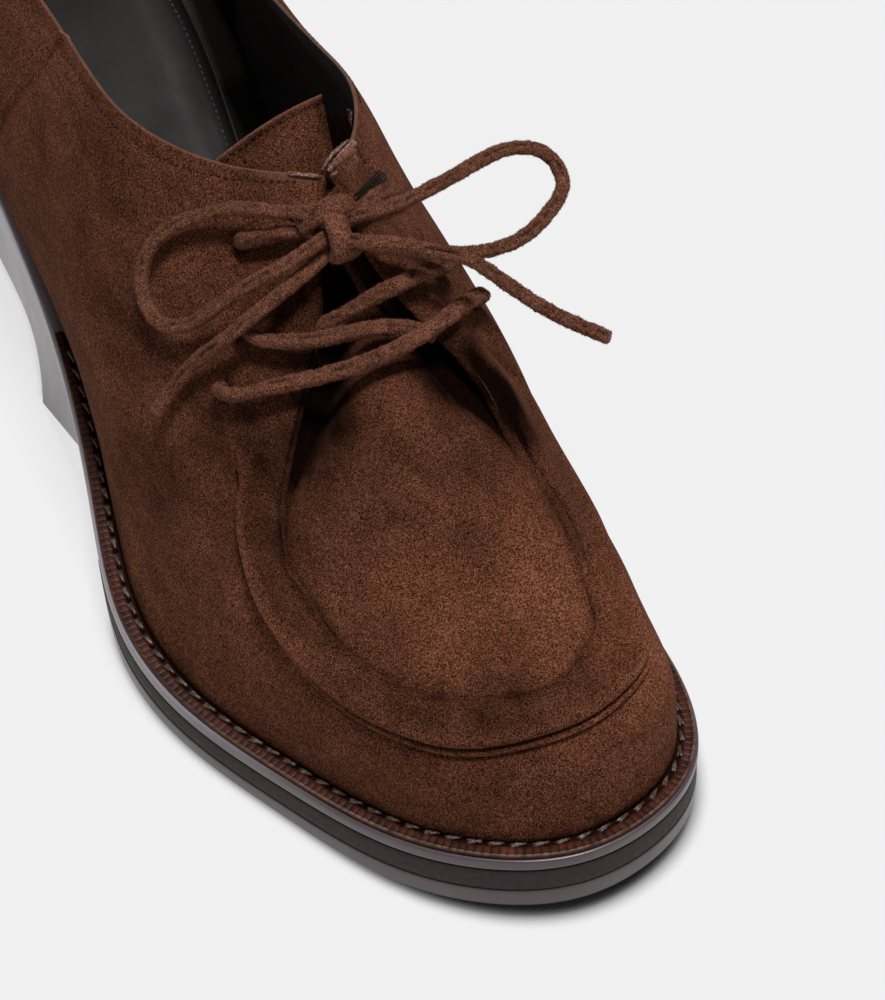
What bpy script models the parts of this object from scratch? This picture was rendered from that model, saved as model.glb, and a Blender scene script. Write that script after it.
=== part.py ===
"""Heeled moccasin-toe lace-up shoe for the right foot, +X to the toe, +Y to the inner side, +Z up."""
import bmesh
import bpy
import numpy as np

MM = 0.001

# Driving sizes in millimetres
SOLE_LENGTH = 255.0
RUNNER_THICK = 2.6
LAYER_GAP = 0.25
PIECE_GAP = 0.3
WELT_WIDTH = 4.2
WELT_THICK = 1.6
WALL = 2.2
TOE_RIM = 1.3
LIP_STEP = 1.6
PLUG_THICK = 2.0
INSOLE_THICK = 3.0
TOE_SPRING = 4.5
FLAT_FROM = 163.0
FLAT_TO = 212.0
PLATFORM_END = 143.0
PLATFORM_TAIL = 5.3
HEEL_FRONT = 119.0
HEEL_FLOOR_FRONT = 89.0
HEEL_FLOOR_BACK = 8.0
LACE_WIDTH = 3.2
LACE_STEP = 2.3 * LACE_WIDTH

# Grid counts
AROUND = 96
COLLAR_COLUMNS = 48
THROAT_COLUMNS = 64

# Sole outline seen from above, row by row from the heel back along the outer side, toe, inner side
OUTLINE_COLUMNS = ("x", "y")
OUTLINE = (
    (0.0, 0.0),
    (6.0, -17.9),
    (22.0, -29.1),
    (50.0, -32.9),
    (90.0, -34.3),
    (130.0, -42.8),
    (160.0, -50.3),
    (185.0, -48.5),
    (210.0, -39.2),
    (232.0, -28.7),
    (247.0, -15.6),
    (255.0, 2.0),
    (251.0, 21.8),
    (240.0, 33.2),
    (222.0, 39.1),
    (200.0, 40.4),
    (175.0, 39.6),
    (140.0, 32.6),
    (95.0, 27.7),
    (50.0, 30.5),
    (22.0, 27.3),
    (6.0, 16.6),
)
TOE_ROW = 11

# Height of the runner's upper face along the foot: heel seat, waist, ball, toe spring
SEAT_COLUMNS = ("x", "z")
SEAT = (
    (0.0, 54.6),
    (15.0, 53.4),
    (30.0, 50.6),
    (45.0, 46.0),
    (60.0, 39.7),
    (75.0, 32.6),
    (90.0, 26.3),
    (105.0, 21.3),
    (120.0, 17.6),
    (135.0, 15.2),
    (150.0, 13.8),
    (170.0, 12.4),
    (185.0, 11.8),
    (205.0, 12.0),
    (220.0, 12.9),
    (235.0, 14.4),
    (255.0, 17.2),
)

# Upper: middle point of the wall (the lip in the toe region) and top edge point of each section
UPPER_COLUMNS = ("mid_x", "mid_y", "mid_z", "top_x", "top_y", "top_z")
UPPER = (
    (0.6, 0.0, 77.0, 7.0, 0.0, 110.0),
    (5.5, -17.2, 76.5, 13.0, -14.5, 108.5),
    (22.0, -28.3, 74.0, 28.5, -22.3, 102.0),
    (50.0, -31.3, 67.0, 52.0, -23.8, 93.6),
    (79.0, -33.0, 60.0, 78.0, -22.0, 90.2),
    (105.0, -35.0, 55.5, 101.0, -22.3, 90.0),
    (121.0, -36.8, 54.5, 115.0, -20.0, 90.0),
    (133.0, -36.5, 55.0, 127.0, -14.0, 90.0),
    (143.0, -35.0, 55.0, 136.0, -5.5, 90.0),
    (151.0, -32.4, 56.0, 142.5, 4.6, 90.0),
    (160.0, -30.4, 55.8, 149.0, 1.3, 86.3),
    (168.4, -29.2, 55.0, 157.0, -3.2, 80.3),
    (175.0, -28.9, 53.0, 165.0, -7.8, 73.4),
    (179.6, -31.2, 49.8, 174.0, -16.3, 65.0),
    (184.2, -32.6, 47.0, 182.7, -24.1, 57.0),
    (190.0, -33.6, 44.0, 189.0, -27.4, 53.5),
    (195.7, -33.7, 41.8, 194.2, -29.1, 51.0),
    (203.5, -32.8, 40.0, 200.5, -28.5, 49.0),
    (212.1, -31.1, 39.2, 207.0, -27.4, 47.3),
    (219.5, -28.6, 38.7, 213.0, -25.6, 46.2),
    (228.2, -23.5, 38.5, 221.2, -21.2, 44.7),
    (234.8, -17.5, 38.5, 227.5, -14.4, 43.7),
    (240.8, -1.5, 39.0, 234.2, 2.2, 43.5),
    (239.5, 16.0, 40.4, 232.4, 12.8, 45.0),
    (233.4, 24.2, 42.6, 229.0, 17.0, 47.6),
    (221.4, 25.6, 46.0, 219.2, 18.7, 53.0),
    (207.3, 27.3, 49.0, 208.8, 19.7, 57.0),
    (193.4, 28.0, 52.5, 196.3, 18.0, 63.2),
    (180.2, 28.6, 56.5, 185.0, 17.5, 69.0),
    (168.0, 28.9, 60.0, 174.0, 13.0, 75.5),
    (157.0, 28.9, 62.5, 162.5, 8.3, 82.5),
    (148.0, 29.2, 64.0, 152.0, 6.9, 87.6),
    (140.0, 29.6, 64.5, 143.0, 7.4, 90.0),
    (131.0, 30.0, 64.5, 137.5, 13.6, 90.0),
    (120.0, 30.3, 64.0, 126.0, 20.0, 90.0),
    (104.0, 30.3, 63.5, 111.0, 20.6, 90.0),
    (84.0, 29.8, 64.5, 92.0, 18.4, 90.0),
    (60.0, 29.4, 68.0, 68.0, 18.0, 91.2),
    (38.0, 28.8, 71.5, 42.0, 20.8, 96.5),
    (20.0, 26.2, 74.5, 25.0, 20.5, 103.5),
    (5.5, 16.4, 76.5, 12.5, 13.7, 108.6),
)
LATERAL_CORNER = 9
MEDIAL_CORNER = 32
LIP_FROM = 11.0
LIP_FULL = 13.5
LIP_UNTIL = 27.5
LIP_END = 30.0


def spline(keys, values):
    """Natural cubic curve through rows of values, as a function of the key."""
    k = np.asarray(keys, float)
    v = np.asarray(values, float)
    if v.ndim == 1:
        v = v[:, None]
    n = len(k)
    h = np.diff(k)
    a = np.eye(n)
    b = np.zeros_like(v)
    for i in range(1, n - 1):
        a[i, i - 1] = h[i - 1]
        a[i, i] = 2.0 * (h[i - 1] + h[i])
        a[i, i + 1] = h[i]
        b[i] = 6.0 * ((v[i + 1] - v[i]) / h[i] - (v[i] - v[i - 1]) / h[i - 1])
    m = np.linalg.solve(a, b)

    def curve(x):
        x = np.atleast_1d(np.asarray(x, float))
        i = np.clip(np.searchsorted(k, x) - 1, 0, n - 2)
        w = h[i][:, None]
        p = (k[i + 1] - x)[:, None]
        q = (x - k[i])[:, None]
        return (m[i] * p ** 3 / (6 * w) + m[i + 1] * q ** 3 / (6 * w)
                + (v[i] / w - m[i] * w / 6) * p + (v[i + 1] / w - m[i + 1] * w / 6) * q)

    return curve


def closed_spline(keys, values, period):
    """The same for rows that close on themselves after one period."""
    k = np.asarray(keys, float)
    v = np.asarray(values, float)
    ext_k = np.concatenate([k[-4:] - period, k, k[:4] + period])
    ext_v = np.concatenate([v[-4:], v, v[:4]])
    curve = spline(ext_k, ext_v)
    return lambda x: curve(np.mod(np.asarray(x, float) - k[0], period) + k[0])


def smoothstep(a, b, x):
    t = np.clip((np.asarray(x, float) - a) / (b - a), 0.0, 1.0)
    return t * t * (3.0 - 2.0 * t)


def unit(v):
    return v / np.maximum(np.linalg.norm(v, axis=-1, keepdims=True), 1e-9)


# Outline as a function of the turn: 0 at the heel back, 0.5 at the toe tip, 1 at the heel back again
_rows = np.array(OUTLINE)
_steps = np.sqrt(np.linalg.norm(np.diff(np.vstack([_rows, _rows[:1]]), axis=0), axis=1))
_keys = np.concatenate([[0.0], np.cumsum(_steps)])
_raw = closed_spline(_keys[:-1], _rows, _keys[-1])
_fine = _raw(np.linspace(0.0, _keys[-1], 2001))
_arc = np.concatenate([[0.0], np.cumsum(np.linalg.norm(np.diff(_fine, axis=0), axis=1))])
_toe_arc = _arc[np.argmin(np.abs(np.linspace(0.0, _keys[-1], 2001) - _keys[TOE_ROW]))]


def outline(turn):
    turn = np.mod(np.asarray(turn, float), 1.0)
    arc = np.where(turn < 0.5, turn * 2 * _toe_arc, _toe_arc + (turn * 2 - 1) * (_arc[-1] - _toe_arc))
    return np.stack([np.interp(arc, _arc, _fine[:, 0]), np.interp(arc, _arc, _fine[:, 1])], 1)


def outline_inset(turn, inset):
    """Outline moved inward by the inset, a number or one number for each turn."""
    turn = np.asarray(turn, float)
    t = unit(outline(turn + 0.004) - outline(turn - 0.004))
    inward = np.stack([-t[:, 1], t[:, 0]], 1)
    return outline(turn) + inward * np.broadcast_to(inset, turn.shape)[:, None]


_seat = spline([r[0] for r in SEAT], [r[1] for r in SEAT])
CENTRE_X = 0.5 * (_fine[:, 0].min() + _fine[:, 0].max())
CENTRE_Y = 0.5 * (_fine[:, 1].min() + _fine[:, 1].max())


def seat(x):
    return _seat(np.clip(x, 0.0, SOLE_LENGTH))[:, 0]


def feather_inset(x):
    """How far the upper stands in from the runner's edge: the welt's width, less at the heel."""
    return 0.9 + (WELT_WIDTH - 0.9) * smoothstep(58.0, 125.0, x)


def sole_bottom(x):
    """Underside of the platform: flat under the ball, up at the toe and to the waist."""
    toe = TOE_SPRING * (np.clip(x - FLAT_TO, 0.0, None) / (SOLE_LENGTH - FLAT_TO)) ** 2
    room = seat(np.full_like(x, PLATFORM_END))[0] - PLATFORM_TAIL
    waist = room * (np.clip(FLAT_FROM - x, 0.0, None) / (FLAT_FROM - PLATFORM_END)) ** 1.5
    return toe + waist


def clear_scene():
    for item in list(bpy.data.objects):
        bpy.data.objects.remove(item, do_unlink=True)


def material(name, colour, roughness):
    m = bpy.data.materials.new(name)
    m.use_nodes = True
    shader = m.node_tree.nodes["Principled BSDF"]
    shader.inputs["Base Color"].default_value = (*colour, 1.0)
    shader.inputs["Roughness"].default_value = roughness
    m.diffuse_color = (*colour, 1.0)
    return m


def mesh_object(name, verts, faces, look):
    verts = (np.asarray(verts, float) - np.array([CENTRE_X, CENTRE_Y, 0.0])) * MM
    data = bpy.data.meshes.new(name)
    data.from_pydata([tuple(v) for v in verts], [], faces)
    work = bmesh.new()
    work.from_mesh(data)
    bmesh.ops.recalc_face_normals(work, faces=work.faces)
    work.to_mesh(data)
    work.free()
    data.materials.append(look)
    item = bpy.data.objects.new(name, data)
    bpy.context.scene.collection.objects.link(item)
    return item


def slab(name, rings, look):
    """Closed slab from rings of equal count, bottom to top; each cap is a ladder across the foot."""
    rings = [np.asarray(r, float) for r in rings]
    n = len(rings[0])
    verts = np.vstack(rings)
    faces = []
    for k in range(len(rings) - 1):
        for i in range(n):
            j = (i + 1) % n
            faces.append((k * n + i, k * n + j, (k + 1) * n + j, (k + 1) * n + i))
    top = (len(rings) - 1) * n
    for i in range(n // 2 - 1):
        a, b, c, d = i, i + 1, n - 2 - i, n - 1 - i
        if b == c:
            faces.append((a, d, b))
            faces.append((top + a, top + b, top + d))
        else:
            faces.append((a, d, c, b))
            faces.append((top + a, top + b, top + c, top + d))
    return mesh_object(name, verts, faces, look)


def strip(name, corners, look):
    """Closed strip: each of the four corner lines runs along it, ends are capped."""
    lines = [np.asarray(c, float) for c in corners]
    n = len(lines[0])
    m = len(lines)
    verts = np.stack(lines, 1).reshape(-1, 3)
    faces = []
    for i in range(n - 1):
        for k in range(m):
            q = (k + 1) % m
            faces.append((i * m + k, i * m + q, (i + 1) * m + q, (i + 1) * m + k))
    faces.append(tuple(range(m))[::-1])
    faces.append(tuple((n - 1) * m + k for k in range(m)))
    return mesh_object(name, verts, faces, look)


def sheet(name, front, back, look):
    """Closed sheet between two grids of equal size."""
    rows, cols = front.shape[:2]
    verts = np.vstack([front.reshape(-1, 3), back.reshape(-1, 3)])
    off = rows * cols
    faces = []
    for r in range(rows - 1):
        for c in range(cols - 1):
            a, b = r * cols + c, r * cols + c + 1
            d, e = a + cols, b + cols
            faces.append((a, b, e, d))
            faces.append((off + a, off + d, off + e, off + b))
    rim = [r * cols for r in range(rows)]
    rim += [(rows - 1) * cols + c for c in range(1, cols)]
    rim += [r * cols + cols - 1 for r in range(rows - 2, -1, -1)]
    rim += [c for c in range(cols - 2, 0, -1)]
    for i, a in enumerate(rim):
        b = rim[(i + 1) % len(rim)]
        faces.append((a, b, off + b, off + a))
    return mesh_object(name, verts, faces, look)


def ring(turn, inset, heights):
    p = outline_inset(turn, inset)
    z = heights(p[:, 0])
    return np.column_stack([p, z])


def turn_at(x, side):
    """Turn at which the outline passes a given x, on the outer (-1) or inner (+1) side."""
    t = np.linspace(0.0, 0.5, 801) if side < 0 else np.linspace(1.0, 0.5, 801)
    return float(np.interp(x, outline(t)[:, 0], t))


def build_sole(looks):
    full = np.linspace(0.006, 0.994, AROUND)
    base = outline_inset(full, 0.0)

    def runner(part):
        return lambda x: seat(x) - RUNNER_THICK * part

    slab("sole_runner", [ring(full, 1.0, runner(1.0)), ring(full, 0.15, runner(0.82)),
                         ring(full, 0.0, runner(0.5)), ring(full, 0.15, runner(0.18)),
                         ring(full, 1.0, runner(0.0))], looks["lacquer"])

    front = np.linspace(turn_at(PLATFORM_END, -1), turn_at(PLATFORM_END, 1), 72)

    def layer(part):
        def height(x):
            low = sole_bottom(x)
            return low + (seat(x) - RUNNER_THICK - LAYER_GAP - low) * part
        return height

    slab("outsole", [ring(front, 1.6, layer(0.0)), ring(front, 0.2, layer(0.1)),
                     ring(front, 0.2, layer(0.45)), ring(front, 0.5, layer(0.485))], looks["lacquer"])
    slab("midsole", [ring(front, 0.6, layer(0.52)), ring(front, 0.4, layer(0.56)),
                     ring(front, 0.4, layer(0.96)), ring(front, 0.6, layer(1.0))], looks["dark"])

    back = np.concatenate([np.linspace(turn_at(HEEL_FRONT, 1), 0.997, 26),
                           np.linspace(0.003, turn_at(HEEL_FRONT, -1), 26)])
    rim = outline_inset(back, 0.8)
    along = np.clip(rim[:, 0] / HEEL_FRONT, 0.0, 1.0)
    floor_x = HEEL_FLOOR_BACK + along * (HEEL_FLOOR_FRONT - HEEL_FLOOR_BACK)
    floor_y = rim[:, 1] * (0.80 + 0.13 * along)
    top_z = seat(rim[:, 0]) - RUNNER_THICK - LAYER_GAP
    rings = []
    for part, narrow in ((0.0, 0.965), (0.04, 1.0), (0.35, 1.0), (0.7, 1.0), (1.0, 1.0)):
        x = floor_x + (rim[:, 0] - floor_x) * part
        y = (floor_y + (rim[:, 1] - floor_y) * part) * narrow
        rings.append(np.column_stack([x, y, top_z * part]))
    slab("heel", [r[::-1] for r in rings], looks["lacquer"])

    edge = feather_inset(base[:, 0]) + WALL
    slab("insole", [ring(full, edge + 0.9, lambda x: seat(x) + PIECE_GAP),
                    ring(full, edge + 2.4, lambda x: seat(x) + PIECE_GAP + INSOLE_THICK)], looks["lining"])

    around = np.linspace(turn_at(96.0, -1), turn_at(96.0, 1), 84)
    p = outline(around)
    wide = feather_inset(p[:, 0]) - PIECE_GAP
    outer = np.minimum(0.7, 0.35 * wide)
    low = ring(around, outer, lambda x: seat(x) + PIECE_GAP)
    high = ring(around, outer, lambda x: seat(x) + PIECE_GAP + WELT_THICK)
    high_in = ring(around, wide - 0.5, lambda x: seat(x) + PIECE_GAP + WELT_THICK)
    low_in = ring(around, wide, lambda x: seat(x) + PIECE_GAP)
    strip("welt", [low, high, high_in, low_in], looks["welt"])


class UpperForm:
    """Outer face of the upper as a function of the turn and of the way up its wall."""

    def __init__(self):
        rows = np.array(UPPER)
        mid = rows[:, :3]
        top = rows[:, 3:]
        grid = np.linspace(0.0, 1.0, 4001)[:-1]
        edge = outline_inset(grid, feather_inset(outline(grid)[:, 0]))
        keys = []
        for m in mid:
            keys.append(grid[np.argmin(np.linalg.norm(edge - m[:2], axis=1))])
        keys = np.array(keys)
        keys[0] = 0.0
        self.keys = keys
        self.mid = closed_spline(keys, mid, 1.0)
        a, b = LATERAL_CORNER, MEDIAL_CORNER
        self.throat = spline(keys[a:b + 1], top[a:b + 1])
        back_keys = np.concatenate([keys[b:] - 1.0, keys[:a + 1]])
        self.collar = spline(back_keys, np.concatenate([top[b:], top[:a + 1]]))
        self.lateral = keys[a]
        self.medial = keys[b]
        self.row_of = lambda t: np.interp(t, keys, np.arange(len(keys)))

    def lip(self, turn):
        row = self.row_of(turn)
        return smoothstep(LIP_FROM, LIP_FULL, row) * (1.0 - smoothstep(LIP_UNTIL, LIP_END, row))

    def toe(self, turn):
        row = self.row_of(turn)
        return smoothstep(16.0, 20.0, row) * (1.0 - smoothstep(24.0, 27.0, row))

    def foot(self, turn):
        p = outline_inset(turn, feather_inset(outline(turn)[:, 0]))
        return np.column_stack([p, seat(p[:, 0]) + PIECE_GAP])

    def top(self, turn, on_throat):
        turn = np.asarray(turn, float)
        if on_throat:
            return self.throat(turn)
        return self.collar(np.where(turn > 0.5, turn - 1.0, turn))

    def wall(self, turn, way, on_throat):
        """Points of the sections: way 0 at the foot, 1 at the wall's middle point, 2 at the top edge."""
        f = self.foot(turn)
        m = self.mid(turn)
        t = self.top(turn, on_throat)
        way = np.asarray(way, float)
        low = np.linalg.norm(m - f, axis=1, keepdims=True)
        high = np.linalg.norm(t - m, axis=1, keepdims=True)
        d_mid = ((m - f) / low * high + (t - m) / high * low) / (low + high)
        d_foot = 1.5 * (m - f) / low - 0.5 * d_mid
        d_top = 1.5 * (t - m) / high - 0.5 * d_mid
        out = []
        for w in way:
            if w <= 1.0:
                out.append(hermite(f, m, d_foot * low, d_mid * low, w))
            else:
                out.append(hermite(m, t, d_mid * high, d_top * high, w - 1.0))
        return np.stack(out, 1)

    def grid(self, turn, way, on_throat):
        """Wall points and outward normals."""
        p = self.wall(turn, way, on_throat)
        e = 1e-3
        lo, hi = np.asarray(turn) - e, np.asarray(turn) + e
        if on_throat:
            lo, hi = np.clip(lo, self.lateral, self.medial), np.clip(hi, self.lateral, self.medial)
        side = self.wall(hi, way, on_throat) - self.wall(lo, way, on_throat)
        up_way = np.clip(np.asarray(way) + 0.02, 0.0, 2.0)
        dn_way = np.clip(np.asarray(way) - 0.02, 0.0, 2.0)
        up = self.wall(turn, up_way, on_throat) - self.wall(turn, dn_way, on_throat)
        normal = unit(np.cross(side, up))
        return p, normal


def hermite(a, b, da, db, t):
    return ((2 * t ** 3 - 3 * t ** 2 + 1) * a + (t ** 3 - 2 * t ** 2 + t) * da
            + (-2 * t ** 3 + 3 * t ** 2) * b + (t ** 3 - t ** 2) * db)


WAYS = (0.0, 0.2, 0.4, 0.6, 0.8, 0.955, 0.995, 1.06, 1.2, 1.4, 1.6, 1.8, 2.0)
RECESS = (0.0, 0.0, 0.1, 0.3, 0.65, 1.0, 0.05, -0.1, -0.1, 0.0, 0.0, 0.0, 0.0)
INNER_RECESS = (0.0, 0.0, 0.1, 0.3, 0.55, 0.65, 0.6, 0.4, 0.1, 0.0, 0.0, 0.0, 0.0)


def build_upper(form, looks):
    back = np.linspace(form.medial - 1.0, form.lateral, COLLAR_COLUMNS + 1)[:-1]
    front = np.linspace(form.lateral, form.medial, THROAT_COLUMNS + 1)[:-1]
    p_back, n_back = form.grid(back, WAYS, False)
    p_front, n_front = form.grid(front, WAYS, True)
    p = np.concatenate([p_back, p_front])
    n = np.concatenate([n_back, n_front])
    turn = np.mod(np.concatenate([back, front]), 1.0)
    step = LIP_STEP * form.lip(turn)[:, None]
    outer = p - n * (step * np.array(RECESS))[..., None]
    rim = smoothstep(1.2, 2.0, np.array(WAYS))[None] * form.toe(turn)[:, None]
    thick = WALL + (TOE_RIM - WALL) * rim + step * np.array(INNER_RECESS)
    inner = p - n * thick[..., None]
    inner[:, 0, 2] = outer[:, 0, 2]
    loop = np.concatenate([outer, inner[:, ::-1]], axis=1)
    cols, rows = loop.shape[:2]
    faces = []
    for c in range(cols):
        d = (c + 1) % cols
        for r in range(rows):
            q = (r + 1) % rows
            faces.append((c * rows + r, d * rows + r, d * rows + q, c * rows + q))
    return mesh_object("upper", loop.reshape(-1, 3), faces, looks["suede"])


# Plug and tongue: rungs from side to side, way along the throat edge from the toe and overlap under the band
PLUG_COLUMNS = ("outer_row", "inner_row", "overlap", "fullness")
PLUG = (
    (21.85, 22.15, 3.0, 0.30),
    (21.4, 22.5, 3.0, 0.32),
    (20.7, 23.0, 3.0, 0.34),
    (19.8, 23.6, 3.2, 0.36),
    (18.6, 24.3, 3.4, 0.38),
    (17.2, 25.0, 3.6, 0.40),
    (15.8, 25.8, 4.0, 0.42),
    (14.6, 26.6, 4.4, 0.42),
    (13.6, 27.4, 5.0, 0.40),
    (12.7, 28.3, 6.0, 0.38),
    (11.8, 29.2, 7.5, 0.36),
    (11.0, 30.1, 9.0, 0.34),
    (10.2, 31.0, 9.5, 0.33),
    (9.35, 31.8, 9.5, 0.33),
)

# Free end of the tongue above the throat: outer edge along the collar's inside, inner edge, crown
TAIL_COLUMNS = ("outer_row", "overlap", "inner_x", "inner_y", "inner_z", "rise")
TAIL = (
    (8.7, 7.5, 143.0, 9.3, 82.0, 1.9),
    (8.0, 4.5, 135.5, 10.3, 88.5, 2.2),
    (7.2, 1.0, 127.3, 12.2, 95.0, 1.5),
)


def tucked(form, row, overlap, on_throat):
    """Three points of a sheet's edge that lies under the upper's wall, from below up to the wall's edge."""
    turn = np.array([np.interp(row, np.arange(len(form.keys)), form.keys)])
    length = np.linalg.norm(form.wall(turn, (2.0,), on_throat) - form.wall(turn, (1.0,), on_throat))
    ways = 2.0 - np.array([1.0, 0.5, 0.0]) * overlap / length
    p, n = form.grid(turn, ways, on_throat)
    rim = smoothstep(1.2, 2.0, ways) * form.toe(turn)[0]
    depth = WALL + (TOE_RIM - WALL) * rim + PIECE_GAP + 0.25
    return p[0] - n[0] * depth[:, None]


def build_tongue(form, looks):
    rows = []
    for outer_row, inner_row, overlap, full in PLUG:
        a = tucked(form, outer_row, overlap, True)
        b = tucked(form, inner_row, overlap, True)
        da = unit(a[2] - a[1])
        db = unit(b[1] - b[2])
        pull = np.linalg.norm(b[2] - a[2]) * full * 2.2
        span = [hermite(a[2], b[2], da * pull, db * pull, t) for t in np.linspace(0.0, 1.0, 11)[1:-1]]
        rows.append(np.vstack([a, span, b[::-1]]))
    count = len(rows[0])
    w = np.linspace(0.0, 1.0, count)
    a = tucked(form, PLUG[0][0], PLUG[0][2] + 1.5, True)[0]
    b = tucked(form, PLUG[0][1], PLUG[0][2] + 1.5, True)[0]
    rows.insert(0, a + (b - a) * w[:, None])
    for outer_row, overlap, inner_x, inner_y, inner_z, rise in TAIL:
        a = tucked(form, outer_row, overlap, False)[0]
        b = np.array([inner_x, inner_y, inner_z])
        arc = a + (b - a) * w[:, None]
        arc[:, 2] += rise * 4.0 * w * (1.0 - w)
        rows.append(arc)
    front = np.array(rows)
    du = np.gradient(front, axis=0)
    dv = np.gradient(front, axis=1)
    normal = unit(np.cross(dv, du))
    if normal[len(front) // 2, count // 2, 2] < 0:
        normal = -normal
    back = front - normal * PLUG_THICK
    return sheet("tongue", front, back, looks["suede"])


# Lace: route points of each piece, from where it starts to where it stops
LACE_COLUMNS = ("x", "y", "z")
LACE = {
    "lace_bar_low": (
        (161.5, -26.0, 64.7), (164.6, -24.4, 66.0), (168.4, -20.0, 69.0), (173.0, -12.3, 72.4),
        (176.2, -2.0, 75.2), (176.6, 8.0, 77.4), (173.0, 17.6, 76.7), (168.2, 23.6, 72.6),
    ),
    "lace_bar_mid": (
        (156.0, -18.5, 73.4), (159.6, -17.8, 73.6), (163.4, -15.2, 74.6), (167.0, -10.8, 76.0),
        (169.2, -5.6, 76.9), (171.0, 0.6, 77.6), (171.6, 6.0, 78.3),
    ),
    "lace_bar_top": (
        (164.8, -1.4, 76.8), (166.6, 3.2, 80.4), (168.0, 8.4, 83.0), (166.4, 14.4, 81.8), (162.8, 19.6, 77.8),
    ),
    "lace_tie_left": (
        (143.7, -12.6, 82.0), (146.4, -10.0, 84.0), (148.6, -7.4, 85.6), (150.4, -5.2, 86.8), (152.6, -2.6, 87.6),
    ),
    "lace_tie_right": (
        (154.1, 5.6, 89.4), (153.4, 7.8, 89.8), (150.8, 12.0, 88.8), (147.8, 16.2, 85.8), (145.2, 19.4, 82.2),
    ),
    "lace_loop_left": (
        (152.3, -2.3, 91.5), (148.4, -6.2, 90.6), (143.2, -11.2, 89.4), (138.3, -16.5, 86.2),
        (135.0, -21.4, 83.0), (133.5, -26.2, 78.6), (134.9, -29.2, 74.4), (138.9, -30.7, 70.7),
        (144.4, -30.0, 69.2), (148.6, -27.2, 71.0), (152.4, -22.4, 76.6), (156.4, -13.6, 84.6),
        (157.2, -7.0, 87.4), (157.0, -4.2, 88.4),
    ),
    "lace_end_left": (
        (157.0, -2.0, 85.3), (159.0, -9.8, 82.6), (159.8, -16.8, 79.8), (157.8, -23.2, 73.6), (154.4, -28.8, 66.0),
        (153.2, -35.6, 56.2),
    ),
    "lace_loop_right": (
        (157.1, 4.6, 91.3), (158.6, 12.8, 93.2), (156.4, 22.4, 92.2), (151.4, 33.2, 89.0), (148.3, 42.0, 85.9),
        (149.8, 48.2, 82.6), (154.6, 48.8, 80.4), (160.3, 43.6, 79.9), (165.8, 35.0, 81.2), (167.9, 26.8, 83.0),
        (167.4, 19.0, 85.2), (164.2, 11.4, 86.8), (161.4, 7.0, 87.2),
    ),
    "lace_end_right": (
        (159.8, 2.6, 90.0), (165.9, 8.4, 91.2), (169.6, 13.8, 90.2), (172.0, 18.4, 88.8), (175.2, 23.0, 85.4),
        (180.0, 31.1, 77.0), (185.7, 42.2, 69.0),
    ),
}
KNOT_CENTRE = (155.6, 1.0, 88.6)
KNOT_SIZE = (8.4, 9.0, 8.0)


def lace_tube(name, route, look):
    """Tube through a route, with a point about every two widths of the lace."""
    p = np.array(route)
    keys = np.concatenate([[0.0], np.cumsum(np.linalg.norm(np.diff(p, axis=0), axis=1))])
    count = max(4, int(round(keys[-1] / LACE_STEP)) + 1)
    q = spline(keys, p)(np.linspace(0.0, keys[-1], count))
    q = (q - np.array([CENTRE_X, CENTRE_Y, 0.0])) * MM
    data = bpy.data.curves.new(name, "CURVE")
    data.dimensions = "3D"
    data.bevel_depth = 0.5 * LACE_WIDTH * MM
    data.bevel_resolution = 2
    data.use_fill_caps = True
    line = data.splines.new("POLY")
    line.points.add(count - 1)
    for point, co in zip(line.points, q):
        point.co = (*co, 1.0)
    data.materials.append(look)
    item = bpy.data.objects.new(name, data)
    bpy.context.scene.collection.objects.link(item)
    return item


def build_lace(looks):
    for name, route in LACE.items():
        lace_tube(name, route, looks["lace"])
    rings = []
    for k in range(1, 8):
        lat = np.pi * k / 8.0
        lon = np.linspace(0.0, 2.0 * np.pi, 17)[:-1] + np.pi / 2.0
        ball = np.column_stack([np.cos(lon) * np.sin(lat), np.sin(lon) * np.sin(lat), np.full(16, -np.cos(lat))])
        rings.append(np.array(KNOT_CENTRE) + ball * np.array(KNOT_SIZE) * 0.5)
    slab("lace_knot", rings, looks["lace"])


def main():
    clear_scene()
    looks = {
        "suede": material("suede", (0.10, 0.045, 0.025), 0.9),
        "lacquer": material("lacquer", (0.09, 0.07, 0.075), 0.25),
        "dark": material("dark_rubber", (0.05, 0.03, 0.025), 0.5),
        "welt": material("welt_leather", (0.08, 0.035, 0.025), 0.5),
        "lining": material("lining", (0.02, 0.02, 0.02), 0.5),
        "lace": material("lace_suede", (0.12, 0.055, 0.03), 0.9),
    }
    form = UpperForm()
    build_sole(looks)
    build_upper(form, looks)
    build_tongue(form, looks)
    build_lace(looks)


main()
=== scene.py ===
# %% [markdown]
# A heeled lace-up shoe with a moccasin toe, for the right foot, in dark brown suede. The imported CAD
# model is loaded first as a fixed frame: +X points to the toe, +Y to the inner side of the foot and +Z
# up, in metres. Every soft piece below is built again at a finer grain from the same tables of sizes,
# in millimetres from the back of the heel, and then moved into that frame by one helper.

# %% Load the frame and note the CAD box
import math
from itertools import product
import bmesh
import bpy
import numpy as np
from mathutils import Matrix


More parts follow.
